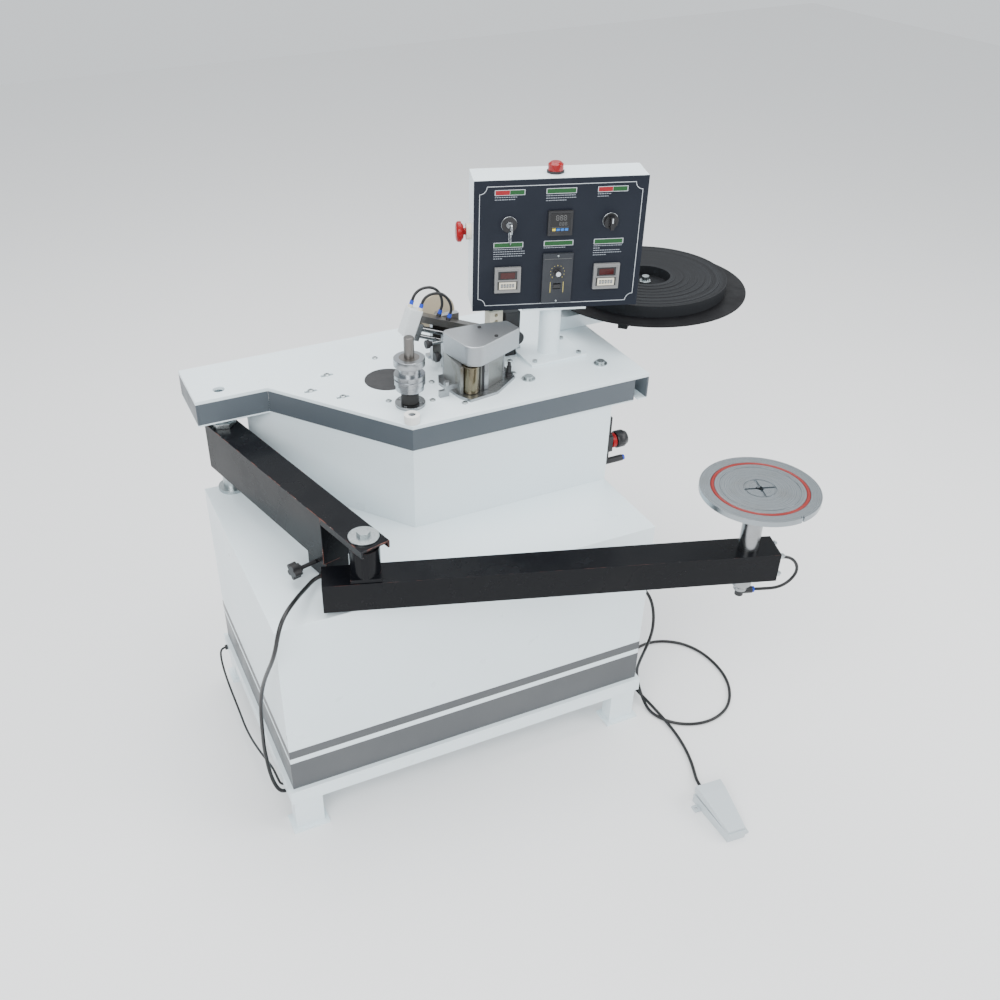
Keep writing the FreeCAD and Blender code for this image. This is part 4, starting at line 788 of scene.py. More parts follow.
# ------------------------------------------------------------------------------- cords
class Cords:
    """The free cable and hoses, each drawn as a smooth cord along listed points."""

    PEDAL_CABLE = (
        (0.404, -0.198, 0.33), (0.417, -0.198, 0.33), (0.431, -0.202, 0.325), (0.443, -0.21, 0.31),
        (0.449, -0.222, 0.288), (0.45, -0.232, 0.258), (0.447, -0.238, 0.226), (0.443, -0.236, 0.192),
        (0.44, -0.228, 0.156), (0.44, -0.217, 0.118), (0.444, -0.206, 0.082), (0.45, -0.204, 0.05),
        (0.452, -0.216, 0.024), (0.45, -0.24, 0.008), (0.446, -0.274, 0.004), (0.462, -0.31, 0.004),
        (0.492, -0.337, 0.004), (0.532, -0.352, 0.004), (0.574, -0.352, 0.004), (0.616, -0.336, 0.004),
        (0.65, -0.303, 0.004), (0.674, -0.258, 0.004), (0.682, -0.206, 0.004), (0.676, -0.15, 0.004),
        (0.652, -0.104, 0.004), (0.61, -0.074, 0.004), (0.562, -0.066, 0.004), (0.516, -0.08, 0.004),
        (0.48, -0.11, 0.004), (0.458, -0.152, 0.005), (0.45, -0.198, 0.014), (0.454, -0.25, 0.014),
        (0.462, -0.3, 0.006), (0.463, -0.35, 0.004), (0.456, -0.4, 0.004), (0.444, -0.442, 0.004),
        (0.431, -0.472, 0.005), (0.422, -0.491, 0.009), (0.4178, -0.5072, 0.012), (0.41653, -0.52516, 0.012)
    )
    VACUUM_HOSE = (
        (-0.2754, -0.1575, 0.553), (-0.288, -0.1607, 0.553), (-0.302, -0.172, 0.554),
        (-0.318, -0.19, 0.558), (-0.335, -0.214, 0.568), (-0.352, -0.24, 0.578), (-0.371, -0.266, 0.585),
        (-0.389, -0.286, 0.58), (-0.401, -0.296, 0.56), (-0.408, -0.295, 0.528), (-0.414, -0.282, 0.492),
        (-0.419, -0.259, 0.452), (-0.422, -0.233, 0.41), (-0.426, -0.212, 0.366), (-0.43, -0.199, 0.32),
        (-0.432, -0.193, 0.272), (-0.433, -0.188, 0.224), (-0.433, -0.182, 0.18), (-0.431, -0.18, 0.144),
        (-0.43, -0.186, 0.116), (-0.427, -0.196, 0.092), (-0.421, -0.206, 0.076), (-0.412, -0.211, 0.07),
        (-0.402, -0.211, 0.07)
    )
    AIR_HOSE = (
        (-0.415, 0.24, 0.1), (-0.422, 0.24, 0.1), (-0.428, 0.235, 0.094), (-0.431, 0.222, 0.082),
        (-0.432, 0.196, 0.066), (-0.432, 0.158, 0.055), (-0.431, 0.112, 0.048), (-0.431, 0.066, 0.046),
        (-0.432, 0.02, 0.049), (-0.431, -0.024, 0.057), (-0.429, -0.066, 0.07), (-0.426, -0.104, 0.082),
        (-0.421, -0.136, 0.088), (-0.416, -0.16, 0.086), (-0.414, -0.18, 0.078), (-0.411, -0.192, 0.07),
        (-0.402, -0.192, 0.07)
    )
    LOOP_HOSE = (
        (0.761, 0, 0.58), (0.777, 0, 0.5806), (0.794, 0.001, 0.575), (0.807, 0.002, 0.561),
        (0.812, 0.002, 0.544), (0.807, 0.002, 0.527), (0.794, 0.001, 0.513), (0.776, 0, 0.5065),
        (0.755, 0, 0.5064), (0.733, 0, 0.507)
    )
    HEAD_HOSES = (
        ((-0.008, 0.006, 0.042), (-0.008, 0.006, 0.049), (-0.0055, 0.006, 0.058), (0.0005, 0.006, 0.066),
         (0.01, 0.006, 0.072), (0.021, 0.006, 0.075), (0.032, 0.0065, 0.0745), (0.043, 0.007, 0.07),
         (0.052, 0.007, 0.062), (0.058, 0.007, 0.053), (0.0615, 0.007, 0.0445), (0.062, 0.007, 0.039),
         (0.062, 0.007, 0.034)),
        ((0.009, -0.006, 0.042), (0.009, -0.006, 0.048), (0.012, -0.006, 0.056), (0.0185, -0.006, 0.063),
         (0.028, -0.0062, 0.068), (0.039, -0.0064, 0.0705), (0.05, -0.0066, 0.069),
         (0.06, -0.007, 0.064), (0.069, -0.007, 0.0565), (0.075, -0.007, 0.0485),
         (0.0777, -0.007, 0.041), (0.078, -0.007, 0.0375), (0.078, -0.007, 0.034)),
    )

    def strand(self, name: str, route: Iterable[Point], diameter: float,
               place: Matrix | None = None) -> bpy.types.Object:
        """Return one smooth cord whose spline has the route as its control points."""
        points = [(place @ Vector(point)) if place else Vector(point) for point in route]
        data = bpy.data.curves.new(name, "CURVE")
        data.dimensions = "3D"
        data.resolution_u = 10
        data.bevel_depth = diameter / 2
        data.bevel_resolution = 5
        data.use_fill_caps = True
        spline = data.splines.new("NURBS")
        spline.points.add(len(points) - 1)
        for knot, point in zip(spline.points, points):
            knot.co = (*point, 1)
        spline.order_u = 3
        spline.use_endpoint_u = True
        piece = bpy.data.objects.new(name, data)
        bpy.context.scene.collection.objects.link(piece)
        return dress(piece, JACKET)

    def flexing_hose(self, name: str, route: Iterable[Point],
                     diameter: float) -> tuple[bpy.types.Object, list[Vector]]:
        """Return a hose as a mesh tube, and the line that it follows."""
        curve = self.strand(name, route, diameter)
        curve.data.bevel_depth = 0
        graph = bpy.context.evaluated_depsgraph_get()
        line = bpy.data.meshes.new_from_object(curve.evaluated_get(graph))
        path = [vertex.co.copy() for vertex in line.vertices]
        bpy.data.meshes.remove(line)
        curve.data.bevel_depth = diameter / 2
        activate(curve)
        bpy.ops.object.convert(target="MESH")
        piece = bpy.context.object
        bpy.ops.object.shade_smooth()
        return dress(piece, JACKET), path

    def build(self, arm: Matrix, cutter: Matrix) -> None:
        """Make every cord.

        Args:
            arm: The place of the upper arm, along which the loop hose is given.
            cutter: The place of the end cutter, along which its two hoses are given.
        """
        pedal = self.strand("pedal_cable_jacket", self.PEDAL_CABLE, 0.007)
        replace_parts(mount(pedal, "machine"), "pedal_cable")
        hose, path = self.flexing_hose("vacuum_hose_jacket", self.VACUUM_HOSE, 0.008)
        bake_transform(hose)
        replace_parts(hose, "vacuum_hose")
        air = self.strand("air_hose_jacket", self.AIR_HOSE, 0.005)
        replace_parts(mount(air, "machine"), "air_hose")
        loop = self.strand("loop_hose_jacket", self.LOOP_HOSE, 0.006, arm)
        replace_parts(mount(loop, "upper_arm"), "suction_loop_hose")
        for number, (route, length) in enumerate(zip(self.HEAD_HOSES, (0.114, 0.104)), start=1):
            hose = self.strand(f"cutter_hose_{number}", route, 0.006, cutter)
            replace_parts(mount(hose, "machine"), "cutter_hoses")
        log.info("cords: pedal cable, vacuum hose, air hose, loop hose and two cutter hoses")


# ------------------------------------------------------------------- cabinets and table
@dataclass(frozen=True)
class Cabinet:
    """Base frame and both cabinets, with the dark bands round the lower one."""

    band_high: float = 72.6 * MM
    stripe_low: float = 86 * MM
    stripe_high: float = 20.5 * MM
    film: float = 0.3 * MM

    def band(self, name: str, low_z: float, high_z: float) -> None:
        """Stick a dark band on the front and both sides of the lower cabinet."""
        low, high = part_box("lower_cabinet")
        left = low.x - self.film
        faces = [block("front", (left, low.y - self.film, low_z), (high.x + self.film, low.y, high_z),
                       BAND_GREY)]
        for x in (left, high.x):
            faces.append(block("side", (x, low.y, low_z), (x + self.film, high.y, high_z), BAND_GREY))
        mount(joined(name, faces), "machine")

    def build(self) -> None:
        """Dress the frame, the cabinets and the rear cover, and add the bands."""
        dressed_node("base_frame", WHITE, 1.2 * MM)
        dressed_node("lower_cabinet", WHITE, 1.6 * MM, 3)
        dressed_node("upper_cabinet", WHITE, 0.9 * MM, 3)
        dressed_node("rear_cover", WHITE, 0.4 * MM)
        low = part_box("lower_cabinet")[0].z
        self.band("wide_band", low + 0.5 * MM, low + self.band_high)
        self.band("narrow_stripe", low + self.stripe_low, low + self.stripe_low + self.stripe_high)
        log.info("cabinet: frame, two shells, cover and bands")


@dataclass(frozen=True)
class Table:
    """Table plate, skirt, round hole cover and the screws on it."""

    cover_gap: float = 0.2 * MM
    lip: float = 3.4 * MM

    def build(self) -> None:
        """Dress the table."""
        dressed_node("table_top", WHITE, 1.0 * MM)
        skirt = dressed_node("table_skirt", GREY_BLUE, 0.6 * MM)
        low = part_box("table_skirt")[0]
        repaint(skirt, (-1, -1, low.z - 0.01), (1, 1, low.z + self.lip), WHITE)
        low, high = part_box("table_hole_cover")
        centre = middle("table_hole_cover")
        radius = (high.x - low.x) / 2 - self.cover_gap
        cover = turned("hole_cover_disc", (centre.x, centre.y, low.z), ((0, radius), (high.z - low.z, radius)),
                       BLACK, sides=72)
        mount(cover, "machine")
        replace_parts(cover, "table_hole_cover")
        screws = dressed_node("machine_screws", ZINC, 0.35 * MM)
        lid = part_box("glue_head_cover")[1].z
        repaint(screws, (0.13, -0.02, lid - 1 * MM), (0.2, 0.1, lid + 4 * MM), BLACK)
        log.info("table: plate, skirt, hole cover and screws")


# ------------------------------------------------------------------------- folding arms
@dataclass(frozen=True)
class FoldingArms:
    """Both arms with their pins, and the vacuum disc at the end."""

    place: Matrix
    seal_wide: float = 7 * MM

    def seal(self) -> None:
        """Lay the flattened red ring into the disc's groove."""
        low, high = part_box("disc_seal")
        centre = middle("disc_seal")
        half = self.seal_wide / 2
        tall = high.z - low.z
        at = (centre.x, centre.y, low.z + tall / 2)
        ring = hoop("disc_seal_ring", at, (high.x - low.x) / 2 - half, half, SEAL_RED)
        for vertex in ring.data.vertices:
            vertex.co.z = centre.z + (vertex.co.z - centre.z) * tall / self.seal_wide
        mount(ring, "suction_disc")
        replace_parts(ring, "disc_seal")

    def build(self) -> None:
        """Dress the arms and their fittings."""
        dressed_node("shoulder_shaft", ZINC, 0.5 * MM)
        dressed_node("lower_arm_tube", GLOSS_BLACK, 1.3 * MM, 2, WORN_BLACK)
        dressed_node("upper_arm_tube", GLOSS_BLACK, 1.5 * MM, 2, WORN_BLACK)
        dressed_node("elbow_pin", ZINC, 0.5 * MM)
        dressed_node("elbow_lock_bracket", GLOSS_BLACK, 0.5 * MM, 2, WORN_BLACK)
        dressed_node("elbow_lock_knob", BLACK, 0.9 * MM)
        dressed_node("end_plate_bolts", ZINC, 0.3 * MM)
        post = dressed_node("suction_post", STEEL, 0.4 * MM)
        repaint(post, (0.69, -0.02, 0.49), (0.7289, 0.02, 0.5119), BLACK, self.place)
        repaint(post, (0.729, -0.02, 0.49), (0.74, 0.02, 0.52), BLUE_COLLAR, self.place)
        faced = BareMetal("faced_disc_steel", (0.3, 0.33, 0.35), 0.28, Marks.RINGS,
                          tuple(pivot("suction_disc_spin")))
        disc = dressed_node("suction_disc", faced, 0.5 * MM)
        disc.name = "suction_disc_faced"
        self.seal()
        log.info("folding arms: tubes, pins, lock, post, disc and seal")


# -------------------------------------------------------------------------- control box
@dataclass(frozen=True)
class ControlBox:
    """The swivelling box with its panel, instruments and switches."""

    place: Matrix
    front: float
    column: float = 99 * MM
    low_row: float = 954 * MM
    high_row: float = 1065 * MM
    ink: float = 0.25 * MM
    border: float = 11 * MM
    notch: float = 14 * MM
    notch_steps: int = 5
    line: float = 1.0 * MM
    half_wide: float = 168 * MM
    meter_face: float = 5.9 * MM
    controller_face: float = 7 * MM

    def flat(self, x: float, z: float, wide: float, tall: float, finish: Finish, proud: float,
             face: float = 0.0) -> bpy.types.Object:
        """Return a thin printed or stuck-on patch, centred on a place of the panel."""
        y = self.front - face
        low = (x - wide / 2, y - proud, z - tall / 2)
        return block("patch", low, (x + wide / 2, y, z + tall / 2), finish, place=self.place)

    def border_line(self) -> list[bpy.types.Object]:
        """Return the thin line round the panel, stepped in at its corners."""
        low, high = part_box("front_panel")
        centre = (low.z + high.z) / 2
        half_high = (high.z - low.z) / 2 - self.border
        half_wide = self.half_wide - self.border
        parts = []
        for side in (-1, 1):
            parts.append(self.flat(0, centre + side * half_high, 2 * (half_wide - self.notch), self.line,
                                   INK_WHITE, self.ink))
            parts.append(self.flat(side * half_wide, centre, self.line, 2 * (half_high - self.notch),
                                   INK_WHITE, self.ink))
            for level in (-1, 1):
                parts.extend(self.corner(side, level, half_wide, centre, half_high))
        return parts

    def corner(self, side: int, level: int, half_wide: float, centre: float,
               half_high: float) -> list[bpy.types.Object]:
        """Return the hollow quarter round at one corner of the border, as short straight strokes.

        Args:
            side: -1 on the left, 1 on the right.
            level: -1 below, 1 above.
            half_wide: Half the border's width.
            centre: The height of the border's centre.
            half_high: Half the border's height.
        """
        stroke = self.notch * 1.62 / self.notch_steps
        parts = []
        for step in range(self.notch_steps):
            turn = math.radians(90 * (step + 0.5) / self.notch_steps)
            x = side * (half_wide - self.notch * math.cos(turn))
            z = centre + level * (half_high - self.notch * math.sin(turn))
            piece = self.flat(0, 0, stroke, self.line, INK_WHITE, self.ink)
            tilt = -side * level * (math.pi / 2 - turn)
            shift = self.place @ Matrix.Translation((x, 0, z)) @ Matrix.Rotation(-tilt, 4, "Y")
            settle(piece, shift @ self.place.inverted())
            parts.append(piece)
        return parts

    def label(self, x: float, z: float, colours: Sequence[Finish],
              lines: Sequence[float]) -> list[bpy.types.Object]:
        """Return one plain colour bar with a pale rim and rows of short dashes under it.

        Args:
            x: The bar's place across the panel.
            z: The bar's height.
            colours: One or two inks, from the left.
            lines: The width of each row of dashes.
        """
        wide, tall, rim = 58 * MM, 10.5 * MM, 0.9 * MM
        dash, space, row_pitch = 4.2 * MM, 1.1 * MM, 4.6 * MM
        parts = [self.flat(x, z, wide, tall, INK_WHITE, self.ink)]
        share = (wide - 2 * rim) / len(colours)
        for number, ink in enumerate(colours):
            centre = x - wide / 2 + rim + share * (number + 0.5)
            parts.append(self.flat(centre, z, share - 0.5 * MM, tall - 2 * rim, ink, 0.15 * MM, self.ink))
        for row, width in enumerate(lines):
            level = z - tall / 2 - 3.4 * MM - row * row_pitch
            at = x - wide / 2
            for number in range(int(width / (dash + space))):
                long = dash * (0.6 + 0.4 * ((number * 7 + row * 5) % 3) / 2)
                parts.append(self.flat(at + long / 2, level, long, 1.3 * MM, INK_FAINT, self.ink))
                at += long + space
        return parts

    def digit(self, x: float, z: float, tall: float, finish: Finish, face: float) -> list[bpy.types.Object]:
        """Return the seven bars of one display figure."""
        wide, bar = tall * 0.52, tall * 0.12
        bars = [(0, level * tall / 2, wide - bar, bar) for level in (-1, 0, 1)]
        bars += [(side * wide / 2, level * tall / 4, bar, tall / 2 - bar)
                 for side in (-1, 1) for level in (-1, 1)]
        return [self.flat(x + bx, z + bz, w, h, finish, 0.2 * MM, face) for bx, bz, w, h in bars]

    def thermostat(self) -> None:
        """Build the face of the upper instrument: two rows of figures and four keys."""
        face = self.meter_face
        front = face + 0.5 * MM
        parts = [self.flat(0, self.high_row + 2 * MM, 36 * MM, 34 * MM, DISPLAY_DARK, 0.5 * MM, face)]
        for number in range(3):
            parts += self.digit((-6 + 7.5 * number) * MM, self.high_row + 11 * MM, 9 * MM, INK_GREY, front)
            parts += self.digit((0 + 5.6 * number) * MM, self.high_row - 1 * MM, 6 * MM, INK_GREY, front)
        parts.append(self.flat(0, self.high_row - 7.5 * MM, 34 * MM, 0.5 * MM, INK_GREY, 0.2 * MM, front))
        for number, ink in enumerate((KEY_YELLOW, KEY_BLUE, KEY_BLUE, KEY_BLUE)):
            key = self.flat((-12 + 8.2 * number) * MM, self.high_row - 12 * MM, 6.4 * MM, 4.6 * MM, ink,
                            0.8 * MM, front)
            parts.append(round_edges(key, 0.3 * MM))
        mount(joined("thermostat_face", parts), "control_box")

    def timer(self, name: str, x: float) -> None:
        """Build the face of one timer: a display window over a row of figure wheels."""
        face = self.meter_face
        window, wheels = self.low_row + 10 * MM, self.low_row - 11 * MM
        parts = [self.flat(x, window, 38 * MM, 17 * MM, BLACK, 0.5 * MM, face),
                 self.flat(x, window, 29 * MM, 12 * MM, DISPLAY_RED, 0.6 * MM, face + 0.5 * MM),
                 self.flat(x, self.low_row, 44 * MM, 2.2 * MM, BEZEL_GREY, 1.1 * MM, face),
                 self.flat(x, wheels, 40 * MM, 17 * MM, BLACK, 0.4 * MM, face),
                 round_edges(self.flat(x, wheels, 34 * MM, 15 * MM, CREAM, 1.1 * MM, face), 0.5 * MM)]
        for number in range(5):
            wheel = x + (number - 2) * 5.6 * MM
            parts.append(self.flat(wheel, wheels, 4.2 * MM, 7.4 * MM, BLACK, 0.12 * MM, face + 1.1 * MM))
            parts += self.digit(wheel, wheels, 4.2 * MM, INK_WHITE, face + 1.22 * MM)
        mount(joined(name, parts), "control_box")

    def controller(self) -> None:
        """Build the print of the speed controller: scale marks, side bars and its two screws."""
        face = self.controller_face
        dial = self.low_row + 13 * MM
        scale = 14 * MM
        parts = []
        for number in range(11):
            turn = math.radians(-135 + 27 * number)
            tall = 2.6 * MM if number % 5 == 0 else 1.4 * MM
            x, z = scale * math.sin(turn), dial + scale * math.cos(turn)
            parts.append(self.flat(x, z, 1.2 * MM, tall, INK_GOLD, self.ink, face))
        for side in (-1, 1):
            x, z = side * 13 * MM, self.low_row - 18 * MM
            parts.append(self.flat(x, z, 1.2 * MM, 22 * MM, INK_GOLD, self.ink, face))
            screw = (0, self.front - face, self.low_row + side * 46.5 * MM)
            parts.append(turned("controller_screw", screw, in_mm((0, 1.9), (0.5, 1.9), (0.9, 1.2)), ZINC,
                                (0, -1, 0), 20, 0.1 * MM, self.place))
        parts.append(self.flat(0, self.low_row + 40.5 * MM, 54 * MM, 0.7 * MM, INK_GREY, self.ink, face))
        mount(joined("controller_print", parts), "control_box")

    def switches(self) -> None:
        """Build the selector's pointer, the dial's white cap and the rings round both switches."""
        knob = self.front - 22 * MM
        pointer = block("selector_pointer", (self.column - 1 * MM, knob - 0.25 * MM, self.high_row + 1 * MM),
                        (self.column + 1 * MM, knob, self.high_row + 10.5 * MM), INK_WHITE, place=self.place)
        mount(pointer, "selector_knob")
        dial = self.front - self.controller_face - 0.4 * MM - 11 * MM
        cap = turned("dial_cap", (0, dial + 0.5 * MM, self.low_row + 13 * MM),
                     in_mm((0, 4.8), (0.7, 4.8), (1.0, 4)), INK_WHITE, (0, -1, 0), 32, 0.1 * MM, self.place)
        mount(cap, "speed_dial")
        for name, x in (("key_ring_trim", -self.column), ("selector_ring_trim", self.column)):
            at = (x, self.front - 1.2 * MM, self.high_row)
            ring = hoop(name, at, 14.8 * MM, 0.9 * MM, CHROME, (0, -1, 0), self.place)
            mount(ring, "control_box")

    def stop_button(self) -> None:
        """Build the red mushroom head on its stem."""
        stem = in_mm((-14, 6.6), (15.4, 6.6))
        head = in_mm((15.41, 13), (17, 15.6), (19.4, 16), (19.5, 19.2), (20.4, 20), (26, 20), (28.2, 18.6),
                     (29.7, 16), (30.4, 12))
        side = (-self.half_wide, 0, middle("stop_button").z)
        button = turned("stop_button_cap", side, (*stem, *head), STOP_RED, (-1, 0, 0), 64, 0, self.place)
        mount(button, "stop_button")
        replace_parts(button, "stop_button")

    def build(self) -> None:
        """Dress the box and build its panel."""
        shell = dressed_node("control_box_shell", WHITE, 1.1 * MM, 3)
        shell.name = "control_box_casing"
        dressed_node("control_post", WHITE, 0.8 * MM)
        panel = dressed_node("front_panel", PANEL_NAVY, 0.4 * MM)
        panel.name = "panel_foil"
        prints = self.border_line()
        red_green, green = (INK_RED, INK_GREEN), (INK_GREEN,)
        above, below = self.high_row + 61 * MM, self.low_row + 70 * MM
        for x, z, colours, lines in ((-self.column, above, red_green, (54, 50)),
                                     (0, above, green, (74, 74, 52)),
                                     (self.column, above, red_green, (34, 30)),
                                     (-self.column, below, green, (74, 76, 76, 70, 22)),
                                     (0, below, green, (54,)),
                                     (self.column, below, green, (72, 18, 66, 70, 34))):
            prints += self.label(x, z, colours, [width * MM for width in lines])
        mount(joined("panel_print", prints), "control_box")
        meters = dressed_node("panel_meters", BEZEL_GREY, 0.8 * MM)
        repaint(meters, (-30 * MM, -1, self.high_row - 30 * MM), (30 * MM, 1, self.high_row + 30 * MM), BLACK,
                self.place)
        for node, finish, width in (("speed_controller", CONTROLLER_GREY, 0.5),
                                    ("speed_dial", GLOSSY_BLACK, 0.5), ("rocker_switch", GLOSSY_BLACK, 0.4),
                                    ("selector_knob", GLOSSY_BLACK, 0.6), ("key", CHROME, 0.25)):
            dressed_node(node, finish, width * MM)
        bodies = dressed_node("switch_bodies", BLACK, 0.5 * MM)
        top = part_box("control_box_shell")[1].z
        repaint(bodies, (-30 * MM, -30 * MM, top + 4.01 * MM), (30 * MM, 30 * MM, top + 30 * MM), LAMP_RED,
                self.place)
        repaint(bodies, (-0.19, -30 * MM, 1.0), (-0.1681, 30 * MM, 1.08), CREAM, self.place)
        self.stop_button()
        self.thermostat()
        for name, x in (("left_timer_face", -self.column), ("right_timer_face", self.column)):
            self.timer(name, x)
        self.controller()
        self.switches()
        log.info("control box: casing, panel print, instruments, switches and lamp")


# ------------------------------------------------------------------------ working head
@dataclass(frozen=True)
class FeedRoller:
    """The upright feed roller and the small nose wheel."""

    table: float
    pulley_level: float = 695 * MM

    def drum(self) -> None:
        """Build the stepped chrome drum, its knurled top band, shaft and pulley."""
        at = pivot("feed_roller_spin")
        base = self.table
        centre = (at.x, at.y, base)
        rings = (in_mm((34, 27), (35, 28), (45, 28), (46, 27)),
                 in_mm((46, 29.3), (47, 30.5), (56.5, 30.5), (57.3, 29.6)),
                 in_mm((57.3, 28.4), (59.6, 28.4)),
                 in_mm((59.6, 29.6), (60.4, 30.5), (67.2, 30.5), (68, 29.6)),
                 in_mm((68, 21), (85, 21)),
                 in_mm((85, 29.6), (85.8, 30.5), (100, 30.5), (101, 29.3)))
        drums = [turned("feed_roller_ring", centre, ring, CHROME, sides=96, rounding=0) for ring in rings]
        low, high = base + 86.5 * MM, base + 99 * MM
        ribbed(drums[-1], lambda face: (abs(face.normal.z) < 0.2 and low < face.center.z < high
                                        and face.area > 1e-7), 0.3 * MM, -0.1 * MM)
        drum = joined("feed_roller_drum", drums)
        cap = turned("feed_roller_cap", centre, in_mm((100.9, 20), (101.2, 20), (101.3, 12)), DARK_STEEL,
                     rounding=0)
        foot, top = (corner.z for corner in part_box("feed_roller"))
        shaft = turned("feed_roller_shaft", (at.x, at.y, 0),
                       ((foot, 10 * MM), (top - 1.5 * MM, 10 * MM), (top, 8.5 * MM)), DARK_STEEL,
                       rounding=0.2 * MM)
        pulley = turned("feed_pulley", (at.x, at.y, self.pulley_level),
                        in_mm((0, 28), (1.5, 28), (1.51, 26.5), (14.4, 26.5), (14.5, 28), (16, 28)), STEEL,
                        sides=64, rounding=0.2 * MM)
        whole = joined("feed_roller_turned", (drum, cap, shaft, pulley))
        mount(whole, "feed_roller")
        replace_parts(whole, "feed_roller")

    def build(self) -> None:
        """Build the drum and dress what goes with it."""
        self.drum()
        dressed_node("feed_rubber", RUBBER, 0.5 * MM)
        dressed_node("roller_mounts", STEEL, 0.4 * MM)
        dressed_node("nose_wheel", NYLON, 0.8 * MM, 3)
        log.info("feed roller: drum, shaft, rubber, flange and nose wheel")


@dataclass(frozen=True)
class GlueHead:
    """Glue plate, pot, roller and the cast cover."""

    table: float

    def build(self) -> None:
        """Dress the glue head and add the bright plate beside its roller."""
        cover = dressed_node("glue_head_cover", CAST_ALUMINIUM, 2.2 * MM, 4)
        cover.name = "glue_head_casting"
        dressed_node("glue_pot", POT_METAL, 0.8 * MM)
        plate = dressed_node("glue_base_plate", BRUSHED, 0.5 * MM)
        repaint(plate, (0.19, 0.02, self.table + 6.1 * MM), (0.24, 0.05, self.table + 60 * MM), BLACK)
        roller = dressed_node("glue_roller", BRASS_GLUE, 0.4 * MM)
        repaint(roller, (-1, -1, 0), (1, 1, self.table - 1 * MM), STEEL)
        self.side_plate()
        log.info("glue head: casting, pot, roller, plate and trim")

    def side_plate(self) -> None:
        """Add the bright plate on the right of the roller, and beside it a black strip that is painted shade for
        the gap.
        """
        low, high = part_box("glue_pot")
        right, top, front = low.x + 60 * MM, high.z - 1 * MM, low.y - 0.05 * MM
        foot = low.z + 0.5 * MM
        plate = block("plate", (right - 9 * MM, low.y - 2 * MM, foot), (right, front, top), BRUSHED, 0.5 * MM)
        # A black strip stands where there is only a gap: painted shade, not a part.
        gap_shade = block("gap_shade", (right - 14 * MM, low.y - 0.8 * MM, foot), (right - 9 * MM, front, top), BLACK,
                    0.2 * MM)
        mount(joined("pot_side_plate", (plate, gap_shade)), "machine")


@dataclass(frozen=True)
class EndCutter:
    """The sloping end cutter with its bar, stand, knobs and valves."""

    place: Matrix
    table: float

    def build(self) -> None:
        """Dress the cutter and its valves."""
        housing = dressed_node("cutter_housing", LIGHT_GREY, 1.6 * MM, 3)
        repaint(housing, (-0.03, -0.05, 0.0281), (0.03, 0.05, 0.0341), CREAM, self.place)
        repaint(housing, (-0.03, -0.05, 0.0341), (0.03, 0.05, 0.05), BLUE_COLLAR, self.place)
        guide = dressed_node("guide_bar", CAST_ALUMINIUM, 0.7 * MM)
        repaint(guide, (0.0, -0.0131, -0.04), (0.17, 0.0131, 0.0201), DARK_STEEL, self.place)
        repaint(guide, (0.05, -0.013, 0.0202), (0.09, 0.013, 0.0262), BLACK, self.place)
        repaint(guide, (0.05, -0.013, 0.0262), (0.09, 0.013, 0.036), BLUE_COLLAR, self.place)
        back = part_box("guide_bar")[1].y
        repaint(guide, (0, back - 5 * MM, self.table), (0.3, back + 1 * MM, self.table + 0.2), BEIGE)
        dressed_node("cutter_carriage", STEEL, 0.5 * MM)
        for node in ("depth_knob", "pressure_knob"):
            self.knob(node)
        valves = dressed_node("air_valves", BLACK, 0.8 * MM)
        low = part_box("air_valves")[0]
        right, back = low.x + 30 * MM, low.y + 0.06
        repaint(valves, (low.x, low.y, self.table), (right, back, self.table + 100 * MM), CREAM)
        repaint(valves, (low.x, low.y, self.table + 105.9 * MM), (right, back, self.table + 0.2), BLUE_COLLAR)
        log.info("end cutter: housing, bar, carriage, knobs and valves")

    def knob(self, node: str) -> None:
        """Build one knurled adjusting knob on its screw."""
        low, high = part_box(node)
        at = pivot(f"{node}_turn")
        radius = (high.y - low.y) / 2
        long = high.x - low.x
        stations = ((0, radius - 1 * MM), (1 * MM, radius - 0.3 * MM), (8 * MM, radius - 0.3 * MM),
                    (9 * MM, radius - 1 * MM), (9.01 * MM, 6 * MM), (14 * MM, 5.6 * MM), (14.01 * MM, 3 * MM),
                    (long, 3 * MM))
        knob = turned(f"{node}_turned", (low.x, at.y, at.z), stations, BLACK, (1, 0, 0), 30, 0.25 * MM)
        grip = low.x + 8 * MM
        ribbed(knob, lambda face: abs(face.normal.x) < 0.2 and face.center.x < grip and face.area > 2e-6,
               0.25 * MM, 0.25 * MM)
        repaint(knob, (low.x + 14 * MM, -1, 0), (1, 1, 2), ZINC)
        mount(knob, node)
        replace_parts(knob, node)


